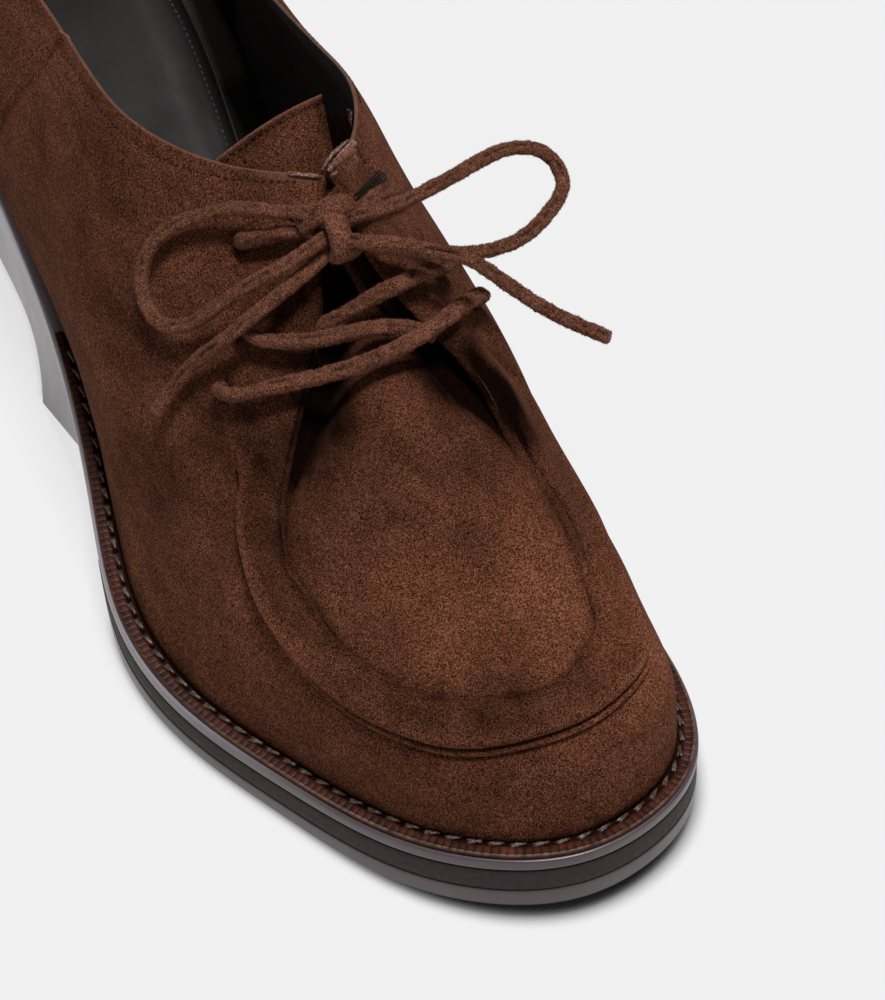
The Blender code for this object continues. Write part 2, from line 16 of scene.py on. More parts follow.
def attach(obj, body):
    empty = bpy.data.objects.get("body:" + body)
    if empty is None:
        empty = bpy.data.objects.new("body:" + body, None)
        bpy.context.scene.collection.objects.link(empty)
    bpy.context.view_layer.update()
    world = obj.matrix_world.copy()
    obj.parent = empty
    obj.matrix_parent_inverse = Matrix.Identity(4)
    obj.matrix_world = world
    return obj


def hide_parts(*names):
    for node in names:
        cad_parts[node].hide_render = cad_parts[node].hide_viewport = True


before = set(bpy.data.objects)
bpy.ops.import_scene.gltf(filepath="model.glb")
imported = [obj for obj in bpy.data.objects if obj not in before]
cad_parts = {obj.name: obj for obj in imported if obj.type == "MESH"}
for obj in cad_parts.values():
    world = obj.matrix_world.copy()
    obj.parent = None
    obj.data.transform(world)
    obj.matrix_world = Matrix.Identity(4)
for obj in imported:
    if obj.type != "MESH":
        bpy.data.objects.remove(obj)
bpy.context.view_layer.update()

scene = bpy.context.scene

# %% [markdown]
# Curves come first. A shoe is a last with leather pulled over it, so nearly every line on it is a smooth
# curve through a few measured points. Blender has Bezier and NURBS curves, but a natural cubic spline in
# numpy passes through its points exactly and can be asked for any value between them, which suits tables.

# %% Splines and small helpers
CENTRE = np.array([127.5913, -5.1305, 0.0])
HASH = (374761393, 668265263, 974634777, 69069, 1274126177)
WORD = 0xFFFFFFFF


def spline(keys, values):
    """Natural cubic curve through rows of values, as a function of the key."""
    k = np.asarray(keys, float)
    v = np.asarray(values, float)
    v = v[:, None] if v.ndim == 1 else v
    n = len(k)
    h = np.diff(k)
    a = np.eye(n)
    b = np.zeros_like(v)
    for i in range(1, n - 1):
        a[i, i - 1:i + 2] = h[i - 1], 2.0 * (h[i - 1] + h[i]), h[i]
        b[i] = 6.0 * ((v[i + 1] - v[i]) / h[i] - (v[i] - v[i - 1]) / h[i - 1])
    m = np.linalg.solve(a, b)

    def curve(x):
        x = np.atleast_1d(np.asarray(x, float))
        i = np.clip(np.searchsorted(k, x) - 1, 0, n - 2)
        w = h[i][:, None]
        p = (k[i + 1] - x)[:, None]
        q = (x - k[i])[:, None]
        return (m[i] * p ** 3 / (6 * w) + m[i + 1] * q ** 3 / (6 * w)
                + (v[i] / w - m[i] * w / 6) * p + (v[i + 1] / w - m[i + 1] * w / 6) * q)

    return curve


def closed_spline(keys, values, period):
    """The same for rows that close on themselves after one period."""
    k = np.asarray(keys, float)
    v = np.asarray(values, float)
    curve = spline(np.concatenate([k[-4:] - period, k, k[:4] + period]), np.concatenate([v[-4:], v, v[:4]]))
    return lambda x: curve(np.mod(np.asarray(x, float) - k[0], period) + k[0])


def smoothstep(a, b, x):
    """Eases from 0 at a to 1 at b."""
    t = np.clip((np.asarray(x, float) - a) / (b - a), 0.0, 1.0)
    return t * t * (3.0 - 2.0 * t)


def window(a, b, c, d, x):
    """Eases from 0 to 1 between a and b, and back to 0 between c and d."""
    return smoothstep(a, b, x) * (1.0 - smoothstep(c, d, x))


def unit(v):
    return v / np.maximum(np.linalg.norm(v, axis=-1, keepdims=True), 1e-9)


def hermite(a, b, da, db, t):
    """Curve from a to b that leaves along da and arrives along db."""
    return ((2 * t ** 3 - 3 * t ** 2 + 1) * a + (t ** 3 - 2 * t ** 2 + t) * da
            + (-2 * t ** 3 + 3 * t ** 2) * b + (t ** 3 - t ** 2) * db)


def along(points):
    """Way along a row of points, in millimetres."""
    return np.concatenate([[0.0], np.cumsum(np.linalg.norm(np.diff(points, axis=0), axis=1))])


def swell(points, size, seed):
    """Smooth random number from -1 to 1 at each point; size is the width of one swell."""
    q = np.asarray(points, float) / size + 97.3 * seed
    base = np.floor(q).astype(np.int64)
    f = q - base
    f = f * f * (3.0 - 2.0 * f)
    out = np.zeros(q.shape[:-1])
    for corner in product((0, 1), repeat=3):
        k = base + np.array(corner)
        h = (k[..., 0] * HASH[0] + k[..., 1] * HASH[1] + k[..., 2] * HASH[2] + seed * HASH[3]) & WORD
        h = ((h ^ (h >> 13)) * HASH[4]) & WORD
        value = ((h ^ (h >> 16)) & 0xFFFF) / 32767.5 - 1.0
        weight = np.prod(np.where(np.array(corner) == 1, f, 1.0 - f), axis=-1)
        out += value * weight
    return out


def into_frame(points):
    """Millimetres from the back of the heel, as metres in the frame."""
    return (np.asarray(points, float) - CENTRE) * 0.001


print("helpers ready, shoe centre", CENTRE[:2])

# %% [markdown]
# The camera is placed before any piece. It was found by fitting a pinhole view to lines that are easy to
# follow in the photograph: the sole edge, the lip of the toe band and the collar. It looks down by about
# 48 degrees from the front and a little to the outer side, with a long lens, and it is rolled by less
# than one degree. A matrix is set instead of Euler angles, because the fit gives its axes directly.

# %% Camera at the photograph's angle
FRAME_WIDTH, FRAME_HEIGHT = 885, 1000
VIEW_DOWN, VIEW_TURN, VIEW_ROLL = (math.radians(a) for a in (47.70, 26.44, 0.65))
VIEW_FAR, VIEW_FOCAL = 798.82, 4205.71
LOOK_AT = np.array([190.0, 0.0, 20.0])
SEEN_AT, MIDDLE = np.array([418.69, 605.65]), np.array([442.5, 503.96])
SENSOR = 36.0

back = np.array([math.cos(VIEW_DOWN) * math.cos(VIEW_TURN), -math.cos(VIEW_DOWN) * math.sin(VIEW_TURN),
                 math.sin(VIEW_DOWN)])
right = unit(np.cross(-back, [0.0, 0.0, 1.0]))
down = np.cross(-back, right)
view_x = right * math.cos(VIEW_ROLL) + down * math.sin(VIEW_ROLL)
view_y = -right * math.sin(VIEW_ROLL) + down * math.cos(VIEW_ROLL)
offset = np.append((SEEN_AT - MIDDLE) / VIEW_FOCAL, 1.0) * VIEW_FAR
eye = into_frame(LOOK_AT - np.stack([view_x, view_y, -back]).T @ offset)

camera = bpy.data.objects.new("camera", bpy.data.cameras.new("camera"))
scene.collection.objects.link(camera)
pose = np.eye(4)
pose[:3, 0], pose[:3, 1], pose[:3, 2], pose[:3, 3] = view_x, -view_y, back, eye
camera.matrix_world = Matrix(pose.tolist())
camera.data.sensor_fit = "HORIZONTAL"
camera.data.sensor_width = SENSOR
camera.data.lens = VIEW_FOCAL / FRAME_WIDTH * SENSOR
camera.data.shift_y = (MIDDLE[1] - FRAME_HEIGHT / 2) / FRAME_WIDTH
camera.data.clip_start = 0.01
scene.camera = camera
print("camera at", np.round(eye, 3), "lens", round(camera.data.lens, 1))

# %% [markdown]
# Every mesh here is a grid of points that numpy computes, so one helper makes the object: it moves the
# points into the frame, lets bmesh turn all faces outwards, shades them smooth and stores any extra
# number per point as an attribute that a material can read, such as how worn or how dark that place is.

# %% Mesh helpers
def skin(name, verts, faces, looks, face_looks=None, marks=None, outward=True):
    """Mesh object from points in millimetres, with its finishes and its marks per point."""
    data = bpy.data.meshes.new(name)
    data.from_pydata([tuple(v) for v in into_frame(verts)], [], [tuple(int(i) for i in f) for f in faces])
    for look in looks if isinstance(looks, (list, tuple)) else [looks]:
        data.materials.append(look)
    if face_looks is not None:
        data.polygons.foreach_set("material_index", np.asarray(face_looks, np.int32))
    for label, values in (marks or {}).items():
        numbers = data.attributes.new(label, "FLOAT", "POINT")
        numbers.data.foreach_set("value", np.asarray(values, np.float32).ravel())
    if outward:
        work = bmesh.new()
        work.from_mesh(data)
        bmesh.ops.recalc_face_normals(work, faces=work.faces)
        work.to_mesh(data)
        work.free()
    data.polygons.foreach_set("use_smooth", np.ones(len(data.polygons), bool))
    item = bpy.data.objects.new(name, data)
    scene.collection.objects.link(item)
    return item


def grid_faces(rows, cols, wrap_rows=False, wrap_cols=False, start=0):
    """Quads of a grid stored row by row."""
    r = np.arange(rows if wrap_rows else rows - 1)
    c = np.arange(cols if wrap_cols else cols - 1)
    r, c = (a.ravel() for a in np.meshgrid(r, c, indexing="ij"))
    r2, c2 = (r + 1) % rows, (c + 1) % cols
    return start + np.stack([r * cols + c, r * cols + c2, r2 * cols + c2, r2 * cols + c], 1)


def two_faced(front, behind):
    """Points and faces of a closed sheet: a front grid, a back grid and a strip around their border."""
    rows, cols = front.shape[:2]
    count = rows * cols
    faces = [tuple(f) for f in grid_faces(rows, cols)]
    faces += [tuple(f) for f in grid_faces(rows, cols, start=count)]
    border = [r * cols for r in range(rows)] + [(rows - 1) * cols + c for c in range(1, cols)]
    border += [r * cols + cols - 1 for r in range(rows - 2, -1, -1)] + list(range(cols - 2, 0, -1))
    for a, b in zip(border, border[1:] + border[:1]):
        faces.append((a, b, count + b, count + a))
    return np.vstack([front.reshape(-1, 3), behind.reshape(-1, 3)]), faces


def wear(piece, slot, *nodes):
    """A finished piece rides on the shoe and stands for its CAD nodes, which it hides; the slot is not used.
    """
    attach(piece, "root")
    if nodes:
        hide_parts(*nodes)
    print(piece.name, "faces", len(piece.data.polygons), "for", ", ".join(nodes) or "detail")


print("mesh helpers ready")

# %% [markdown]
# Materials and node trees are made of many small nodes. Written out one by one they hide what they do,
# so one helper adds a node and fills its sockets: another node's output becomes a link, a number
# becomes a constant. A look collects the nodes of one material. Its noise uses Object coordinates, so
# that a pattern keeps its place and its size on every piece.

# %% Node helpers
LEAST_GAIN = 0.05


def fill(tree, node, sockets):
    """Link each socket to another node's output, or set it to a constant."""
    for label, value in sockets.items():
        if isinstance(value, bpy.types.NodeSocket):
            tree.links.new(value, node.inputs[label])
        else:
            node.inputs[label].default_value = value


def add_node(tree, kind, sockets=None, **settings):
    node = tree.nodes.new(kind)
    for label, value in settings.items():
        setattr(node, label, value)
    fill(tree, node, sockets or {})
    return node


class Look:
    """One material: its shader, its Object coordinates and short ways to add nodes."""

    def __init__(self, name, colour):
        self.material = bpy.data.materials.new(name)
        self.material.use_nodes = True
        self.material.diffuse_color = (*colour, 1.0)
        self.tree = self.material.node_tree
        self.shader = self.tree.nodes["Principled BSDF"]
        self.coords = add_node(self.tree, "ShaderNodeTexCoord").outputs["Object"]

    def put(self, sockets):
        fill(self.tree, self.shader, sockets)

    def noise(self, scale, detail=2.0, rough=0.55, stretch=None, twist=0.0):
        source = self.coords
        if stretch:
            mapping = add_node(self.tree, "ShaderNodeMapping", {"Vector": source, "Scale": stretch})
            source = mapping.outputs["Vector"]
        node = add_node(self.tree, "ShaderNodeTexNoise", {
            "Vector": source, "Scale": scale, "Detail": detail, "Roughness": rough, "Distortion": twist})
        return node.outputs["Fac"]

    def mark(self, label):
        """A number stored on the mesh."""
        return add_node(self.tree, "ShaderNodeAttribute", attribute_name=label).outputs["Fac"]

    def sums(self, start, *terms):
        """start plus gain * (socket - middle) for each term (socket, gain, middle)."""
        total = start - sum(gain * middle for _, gain, middle in terms)
        for socket, gain, _ in terms:
            node = add_node(self.tree, "ShaderNodeMath", {0: socket, 1: gain, 2: total},
                            operation="MULTIPLY_ADD")
            total = node.outputs[0]
        return total

    def ramp(self, socket, *stops):
        node = add_node(self.tree, "ShaderNodeValToRGB", {"Fac": socket})
        while len(node.color_ramp.elements) < len(stops):
            node.color_ramp.elements.new(0.5)
        for element, (place, colour) in zip(node.color_ramp.elements, stops):
            element.position = place
            element.color = (*colour, 1.0)
        return node.outputs["Color"]

    def tint(self, base, label, colour):
        """Mix towards a colour by a mark."""
        node = add_node(self.tree, "ShaderNodeMix", {
            "Factor": self.mark(label), "A": base, "B": (*colour, 1.0)}, data_type="RGBA")
        return node.outputs["Result"]

    def scaled(self, colour, gain):
        """A colour made lighter or darker by a number, never quite black."""
        kept = add_node(self.tree, "ShaderNodeMath", {0: gain, 1: LEAST_GAIN}, operation="MAXIMUM")
        node = add_node(self.tree, "ShaderNodeVectorMath", {0: colour, "Scale": kept.outputs[0]},
                        operation="SCALE")
        return node.outputs["Vector"]

    def bump(self, socket, strength, distance):
        node = add_node(self.tree, "ShaderNodeBump", {
            "Height": socket, "Strength": strength, "Distance": distance})
        self.put({"Normal": node.outputs["Normal"]})


print("node helpers ready")

# %% [markdown]
# Suede is leather with its fibres brushed up. From close by it is a field of fine specks, darker where
# the nap points to the eye and lighter where it lies away, and over that there are soft patches left by
# hands and brushes. A photo texture would fix one piece of leather; noise at four sizes gives the same
# look at any place. Three marks on the mesh steer it: tone makes it lighter or darker, for the nap and
# for painted shade and painted light; the pale edge mark bares the pale leather of a cut edge; and hole
# blackens it, as painted shade inside the punched holes. A trace of sheen adds the bloom that fibres
# show at grazing angles.

# %% Suede finish
# the second colour is painted shade inside the punched lace holes
BARE_SUEDE, HOLE_SHADE_BROWN = (0.27, 0.125, 0.09), (0.004, 0.002, 0.0015)
SHEEN_TINT = (0.55, 0.24, 0.15, 1.0)


def suede(name, dark, middle, light, grain=1.0, patch=1.0):
    look = Look(name, middle)
    cloud = look.noise(42.0, 3.0)
    brush = look.noise(115.0, 3.0, 0.6, stretch=(0.6, 1.0, 1.5), twist=0.6)
    nap = look.noise(1300.0, 3.0, 0.6, twist=1.4)
    speck = look.noise(5000.0, 2.0, 0.7, stretch=(1.0, 0.8, 0.6), twist=1.2)
    value = look.sums(0.5, (nap, 0.7 * grain, 0.5), (speck, 4.2 * grain, 0.5))
    colour = look.ramp(value, (0.0, dark), (0.5, middle), (1.0, light))
    # noise patches and the tone mark, which also carries painted shade and painted light
    uneven_and_shaded = look.sums(1.0, (cloud, 0.80 * patch, 0.5), (brush, 1.25 * patch, 0.5),
                        (look.mark("tone"), 0.9, 0.0))
    colour = look.scaled(colour, uneven_and_shaded)
    colour = look.tint(colour, "pale_edge_and_reflection", BARE_SUEDE)
    colour = look.tint(colour, "hole", HOLE_SHADE_BROWN)
    fuzz = look.sums(0.5, (nap, 0.6, 0.5), (speck, 0.8, 0.5), (brush, 0.7, 0.5))
    look.bump(fuzz, 0.55, 0.0004)
    look.put({"Base Color": colour, "Roughness": 0.95, "Specular IOR Level": 0.02, "Sheen Weight": 0.05,
              "Sheen Roughness": 0.40, "Sheen Tint": SHEEN_TINT})
    return look.material


SUEDE = suede("suede", (0.008, 0.0018, 0.0007), (0.073, 0.0225, 0.0106), (0.245, 0.099, 0.057))
LACE_SUEDE = suede("lace_suede", (0.034, 0.0098, 0.0046), (0.138, 0.0505, 0.0290), (0.290, 0.130, 0.084),
                   grain=1.45, patch=0.5)
WORN_LEATHER = suede("worn_leather", (0.05, 0.017, 0.011), (0.17, 0.070, 0.050), (0.50, 0.33, 0.28),
                     grain=1.2)
COUNTER_LINING = suede("counter_lining", (0.016, 0.013, 0.012), (0.030, 0.025, 0.024), (0.055, 0.047, 0.045),
                       grain=0.6, patch=0.4)
print("suede finishes", SUEDE.name, LACE_SUEDE.name, WORN_LEATHER.name, COUNTER_LINING.name)

# %% [markdown]
# The other finishes: the sole edges and the heel are lacquered leather board, dark plum brown under a
# thin clear coat that mirrors the bright room; the middle layer is a duller rubber; the welt is waxed
# red-brown leather; the sock is smooth black leather with a fine pebble, and the lining is the same
# leather in a lighter grey, painted light inside the shaded shoe. One recipe serves them all, with
# noise in its colour, its roughness and its bump, because even a polished edge is never perfectly even.

# %% Lacquer, rubber, welt leather, lining and thread
HOLE_BLACK = (0.004, 0.003, 0.003)


def finish_of(name, colours, scale, rough, pits, specular, coat=(0.0, 0.05), pale_mark_colour=(0.30, 0.19, 0.12)):
    """Three colours, scale of the clouds, range of roughness, pits as scale, strength and depth."""
    look = Look(name, colours[1])
    cloud = look.noise(scale, 4.0, 0.6)
    value = look.sums(0.5, (cloud, 1.5, 0.5), (look.mark("tone"), 0.5, 0.0))
    colour = look.ramp(value, (0.1, colours[0]), (0.5, colours[1]), (0.9, colours[2]))
    colour = look.tint(colour, "pale_edge_and_reflection", pale_mark_colour)
    colour = look.tint(colour, "hole", HOLE_BLACK)
    cast = add_node(look.tree, "ShaderNodeMapRange", {
        "Value": look.noise(scale * 2.7, 3.0), "From Min": 0.3, "From Max": 0.7,
        "To Min": rough[0], "To Max": rough[1]})
    pit_scale, pit_strength, pit_depth = pits
    look.bump(look.noise(pit_scale, 3.0), pit_strength, pit_depth)
    look.put({"Base Color": colour, "Roughness": cast.outputs["Result"], "Specular IOR Level": specular,
              "Coat Weight": coat[0], "Coat Roughness": coat[1]})
    return look.material


# the pale lilac grey mixed in along the runner's edge is its painted reflection
LACQUER = finish_of(
    "lacquer", ((0.058, 0.035, 0.040), (0.073, 0.046, 0.053), (0.090, 0.060, 0.068)), 60.0, (0.30, 0.38),
    (420.0, 0.04, 0.0002), 0.46, coat=(0.12, 0.25), pale_mark_colour=(0.40, 0.365, 0.395))
# a paler copy of the lacquer: its lighter base colour is painted reflection of the bright room
HEEL_LACQUER_PAINTED_PALE = finish_of(
    "heel_lacquer_painted_pale", ((0.090, 0.066, 0.076), (0.110, 0.082, 0.094), (0.132, 0.100, 0.114)), 40.0, (0.30, 0.38),
    (420.0, 0.03, 0.0002), 0.48, coat=(0.26, 0.12))
RUBBER = finish_of(
    "dark_rubber", ((0.028, 0.0175, 0.0180), (0.041, 0.0265, 0.0270), (0.055, 0.037, 0.037)), 700.0,
    (0.58, 0.70), (1500.0, 0.18, 0.0002), 0.15)
WELT_LEATHER = finish_of(
    "welt_leather", ((0.013, 0.0034, 0.0018), (0.048, 0.0110, 0.0055), (0.095, 0.026, 0.013)), 420.0,
    (0.42, 0.56), (1300.0, 0.30, 0.0002), 0.20)
# a grey much lighter than the black lining leather: painted light inside the shaded shoe
LINING_PAINTED_LIGHTER = finish_of(
    "lining", ((0.062, 0.0535, 0.0525), (0.088, 0.0765, 0.0750), (0.120, 0.1060, 0.1040)), 70.0, (0.45, 0.58),
    (1900.0, 0.22, 0.0001), 0.30)
SOCK_LEATHER = finish_of(
    "sock_leather", ((0.0150, 0.0125, 0.0120), (0.0215, 0.0182, 0.0175), (0.0290, 0.0250, 0.0242)), 45.0,
    (0.38, 0.48), (1700.0, 0.20, 0.0001), 0.06, pale_mark_colour=(0.33, 0.26, 0.225))
SEAM_THREAD = finish_of(
    "seam_thread", ((0.020, 0.007, 0.004), (0.050, 0.020, 0.012), (0.150, 0.072, 0.046)), 900.0, (0.7, 0.85),
    (3000.0, 0.3, 0.0001), 0.15)
# near-black grains: painted shade inside needle and awl holes
NEEDLE_HOLE_SHADE = finish_of(
    "needle_hole_shade", ((0.005, 0.002, 0.0012), (0.008, 0.003, 0.0018), (0.012, 0.005, 0.003)),
    900.0, (0.85, 0.95),
    (3000.0, 0.2, 0.0001), 0.02)
TACK_THREAD = finish_of(
    "tack_thread", ((0.003, 0.0020, 0.0015), (0.009, 0.0060, 0.0045), (0.070, 0.050, 0.036)), 1900.0,
    (0.6, 0.75), (3000.0, 0.3, 0.0001), 0.08)
SOCK_THREAD = finish_of(
    "sock_thread", ((0.010, 0.007, 0.005), (0.16, 0.070, 0.030), (0.36, 0.17, 0.075)), 800.0, (0.45, 0.6),
    (3000.0, 0.3, 0.0001), 0.5)
WAXED_THREAD = finish_of(
    "waxed_thread", ((0.016, 0.0085, 0.0055), (0.066, 0.041, 0.028), (0.230, 0.175, 0.138)), 1100.0,
    (0.22, 0.36), (2600.0, 0.5, 0.0002), 0.55)
print("finishes", len(bpy.data.materials))

# %% [markdown]
# Lace. It is a suede cord about three millimetres wide that runs in three bars across the throat and is
# tied in a bow, where it isn't pressed flat and looks a little thinner. A Blender curve with a bevel
# would give a perfect pipe; here a rounded oblong section is swept along the route in numpy, so the
# surface can be roughened, a cut line can run along it, and the ends can dip into the punched holes.
# The route points are the CAD's own.

# %% Routes of the lace, from the CAD
ROUTES = {
    "lace_bar_low": (
        (158.9, -22.4, 60.2), (160.2, -25.3, 63.6),
        (161.5, -26.0, 64.7), (164.6, -24.4, 66.0), (168.4, -20.0, 69.0), (173.0, -12.3, 72.4),
        (176.2, -2.0, 75.2), (176.6, 8.0, 77.4), (173.0, 17.6, 76.7), (168.2, 23.6, 72.6),
        (164.4, 26.6, 68.2), (162.2, 25.4, 65.0)),
    "lace_bar_mid": (
        (153.4, -15.0, 68.6), (154.7, -17.9, 72.4),
        (156.0, -18.5, 73.4), (159.6, -17.8, 73.6), (163.4, -15.2, 74.6), (167.0, -10.8, 76.0),
        (169.2, -5.6, 76.9), (171.0, 0.6, 77.4), (172.4, 6.0, 76.4), (174.2, 11.8, 73.4)),
    "lace_bar_top": (
        (162.8, -6.4, 73.6), (164.8, -1.4, 76.8), (166.6, 3.2, 80.4), (168.0, 8.4, 83.0),
        (166.4, 14.4, 81.8),
        (162.8, 19.6, 77.8), (159.4, 21.4, 74.2), (157.8, 19.0, 71.4)),
    "lace_tie_left": (
        (141.9, -9.8, 77.4), (143.0, -12.2, 81.2), (143.7, -12.6, 82.0), (146.4, -10.0, 84.0),
        (148.6, -7.4, 85.6),
        (150.4, -5.4, 86.8), (153.6, -2.0, 88.4)),
    "lace_tie_right": (
        (155.0, 3.4, 89.4), (153.4, 7.8, 89.8), (150.8, 12.0, 88.8), (147.8, 16.2, 85.8),
        (145.2, 19.4, 82.2),
        (143.6, 19.8, 79.8), (142.8, 17.6, 77.6)),
    "lace_loop_left": (
        (154.6, -0.2, 90.6), (152.0, -2.6, 91.8), (148.4, -6.2, 90.6), (143.2, -11.2, 89.4),
        (138.3, -16.5, 86.2),
        (135.0, -21.4, 83.0), (133.5, -26.2, 78.6), (134.9, -29.2, 74.4), (138.9, -30.7, 70.7),
        (144.4, -30.0, 69.2), (148.6, -27.2, 71.0), (152.4, -22.4, 76.6), (156.4, -13.6, 84.6),
        (157.2, -7.0, 87.4), (157.0, -4.2, 88.4), (156.2, -0.4, 88.8)),
    "lace_end_left": (
        (157.0, 0.4, 86.6), (157.8, -3.6, 84.8), (159.0, -9.8, 82.6), (159.8, -16.8, 79.8),
        (157.8, -23.2, 73.6),
        (154.4, -28.8, 66.0), (153.2, -35.6, 56.2)),
    "lace_loop_right": (
        (156.0, 2.6, 90.8), (157.8, 6.4, 92.6), (158.6, 12.8, 93.2), (156.4, 22.4, 92.2),
        (151.4, 33.2, 89.0),
        (148.3, 42.0, 85.9), (149.8, 48.2, 82.6), (154.6, 48.8, 80.4), (160.3, 43.6, 79.9),
        (165.8, 35.0, 81.2),
        (167.9, 26.8, 83.0), (167.4, 19.0, 85.2), (164.2, 11.4, 86.8), (161.4, 7.0, 87.2),
        (157.4, 2.6, 87.8)),
    "lace_end_right": (
        (158.4, 0.8, 89.6), (162.4, 3.6, 90.8), (165.9, 8.4, 91.2), (169.6, 13.8, 90.2),
        (172.0, 18.4, 88.8),
        (175.2, 23.0, 85.4), (180.0, 31.1, 77.0), (185.7, 42.2, 69.0)),
}


print("lace routes", len(ROUTES))

# %% Lace swept along its routes
LACE_WIDTH, LACE_THICK = 3.0, 2.4
FREE_WIDTH, FREE_THICK = 2.6, 2.1
LACE_AROUND = 20
TIP_POINTS = 2 * LACE_AROUND + 2


def sweep(route, width, thick, seed, step=0.45, around=LACE_AROUND, facing=(0.35, -0.15, 0.92), rough=0.20,
          cut=0.34):
    """Rounded oblong section along a route: points, faces, tone and the centre line. The tone is painted
    light on bumps and along both sides, and painted shade in the cut groove.
    """
    route = np.array(route)
    keys = along(route)
    curve = spline(keys, route)
    count = int(keys[-1] / step) + 2
    line = curve(np.linspace(0.0, keys[-1], count))
    tangent = unit(np.gradient(line, axis=0))
    face = np.zeros_like(line)
    last = np.array(facing)
    for i, t in enumerate(tangent):
        wish = 0.93 * last + 0.07 * np.array(facing)
        last = unit(wish - t * (wish @ t))
        face[i] = last
    side = np.cross(tangent, face)
    a = np.linspace(0.0, 2.0 * np.pi, around, endpoint=False)
    c, s = np.cos(a), np.sin(a)
    power = 2.0 / 2.7
    ring_y = 0.5 * width * np.sign(c) * np.abs(c) ** power
    ring_z = 0.5 * thick * np.sign(s) * np.abs(s) ** power
    body = line[:, None] + side[:, None] * ring_y[None, :, None] + face[:, None] * ring_z[None, :, None]
    out = unit(body - line[:, None])
    ruffle = 0.8 * swell(body, 0.75, seed) + 0.35 * swell(body, 2.0, seed + 3)
    body = body + out * (rough * ruffle)[..., None]
    # the cut line: a shallow, broken groove along the upper face
    groove = np.exp(-((np.arange(around) - around * 0.25) / 0.55) ** 2)[None, :]
    broken = swell(line, 1.3, seed + 7) + 0.6 * swell(line, 9.0, seed + 8)
    groove = groove * smoothstep(-0.3, 0.5, broken)[:, None]
    body = body - out * (cut * groove)[..., None]
    # painted light on the bumps, painted shade in the groove and painted sheen along both sides
    tone = 0.30 * ruffle - 0.75 * groove + 0.25 * np.abs(np.cos(a))[None, :] ** 6
    verts = body.reshape(-1, 3)
    faces = [tuple(f) for f in grid_faces(count, around, wrap_cols=True)]
    ends = np.stack([line[0] - 0.25 * tangent[0], line[-1] + 0.25 * tangent[-1]])
    verts = np.vstack([verts, ends])
    for k in range(around):
        faces.append(((k + 1) % around, k, len(verts) - 2))
        faces.append(((count - 1) * around + k, (count - 1) * around + (k + 1) % around, len(verts) - 1))
    return verts, faces, np.concatenate([tone.ravel(), [0.2, 0.2]]), line


def swept(strands):
    """Several strands as one mesh; each is a dictionary of what sweep is given."""
    verts, faces, tone = np.zeros((0, 3)), [], np.zeros(0)
    for strand in strands:
        v, f, t, _ = sweep(**strand)
        faces += [tuple(i + len(verts) for i in face) for face in f]
        verts, tone = np.vstack([verts, v]), np.concatenate([tone, t])
    return verts, faces, tone


lace_pieces = {}
for seed, (label, route) in enumerate(ROUTES.items()):
    free = "loop" in label or "end" in label
    size = (FREE_WIDTH, FREE_THICK) if free else (LACE_WIDTH, LACE_THICK)
    verts, faces, tone, line = sweep(route, *size, seed + 1)
    pale = np.zeros(len(tone))
    if "end" in label:
        pale[-TIP_POINTS:] = 0.6
    piece = skin(label + "_suede", verts, faces, LACE_SUEDE, marks={"tone": tone, "pale_edge_and_reflection": pale})
    wear(piece, "lace_suede", label)
    lace_pieces[label] = piece

# %% [markdown]
# The knot of the bow: one turn of the lace wraps the strands and pinches them, and a second one lies
# across its top. A modelled lump would lose the strands' edges, so both are swept like the strands, the
# turn along a ring that leans with the instep. They are wider than the free lace because they are
# squeezed flat.

# %% Knot
KNOT_CENTRE = np.array([156.2, 1.0, 88.6])
OVER = ((-4.6, -4.6, 0.2), (-3.6, -2.8, 2.6), (-2.4, -0.4, 4.2), (-2.2, 1.8, 4.3), (-3.2, 3.8, 2.6),
        (-4.2, 4.8, 0.4))
lean = unit(np.array([0.86, 0.0, -0.50]))
rise = unit(np.array([0.50, 0.0, 0.86]))
turns = np.linspace(-0.2, 2.0 * np.pi + 0.55, 18)
wrap = KNOT_CENTRE + np.outer(4.3 * np.cos(turns), lean) + np.outer(3.5 * np.sin(turns), rise)
wrap[:, 1] += np.linspace(-0.9, 1.1, len(turns))
verts, faces, tone = swept([
    dict(route=wrap, width=2.4, thick=4.3, seed=31, step=0.4, facing=(0.0, 1.0, 0.0)),
    dict(route=KNOT_CENTRE + np.array(OVER), width=4.5, thick=3.3, seed=32, step=0.4,
         facing=(0.3, 0.0, 0.95))])
knot = skin("lace_knot_suede", verts, faces, LACE_SUEDE, marks={"tone": tone + 0.05})
wear(knot, "lace_suede", "lace_knot")

# %% [markdown]
# The shoe's own measures, from the CAD: the sole outline seen from above and the height of the foot bed
# along the shoe. A turn of 0 is the back of the heel, 0.5 the tip of the toe, and the outer side of the
# foot comes first. Each piece of the sole is this outline moved inwards a little, so one table keeps
# them all in line.

# %% Outline and foot bed
OUTLINE = ((0.0, 0.0), (6.0, -17.9), (22.0, -29.1), (50.0, -32.9), (90.0, -34.3), (130.0, -42.8),
           (160.0, -50.3),
           (185.0, -48.5), (210.0, -39.2), (232.0, -28.7), (247.0, -15.6), (255.0, 2.0), (251.0, 21.8),
           (240.0, 33.2), (222.0, 39.1), (200.0, 40.4), (175.0, 39.6), (140.0, 32.6), (95.0, 27.7),
           (50.0, 30.5),
           (22.0, 27.3), (6.0, 16.6))
TOE_ROW = 11
SEAT = ((0.0, 54.6), (15.0, 53.4), (30.0, 50.6), (45.0, 46.0), (60.0, 39.7), (75.0, 32.6), (90.0, 26.3),
        (105.0, 21.3), (120.0, 17.6), (135.0, 15.2), (150.0, 13.8), (170.0, 12.4), (185.0, 11.8),
        (205.0, 12.0),
        (220.0, 12.9), (235.0, 14.4), (255.0, 17.2))
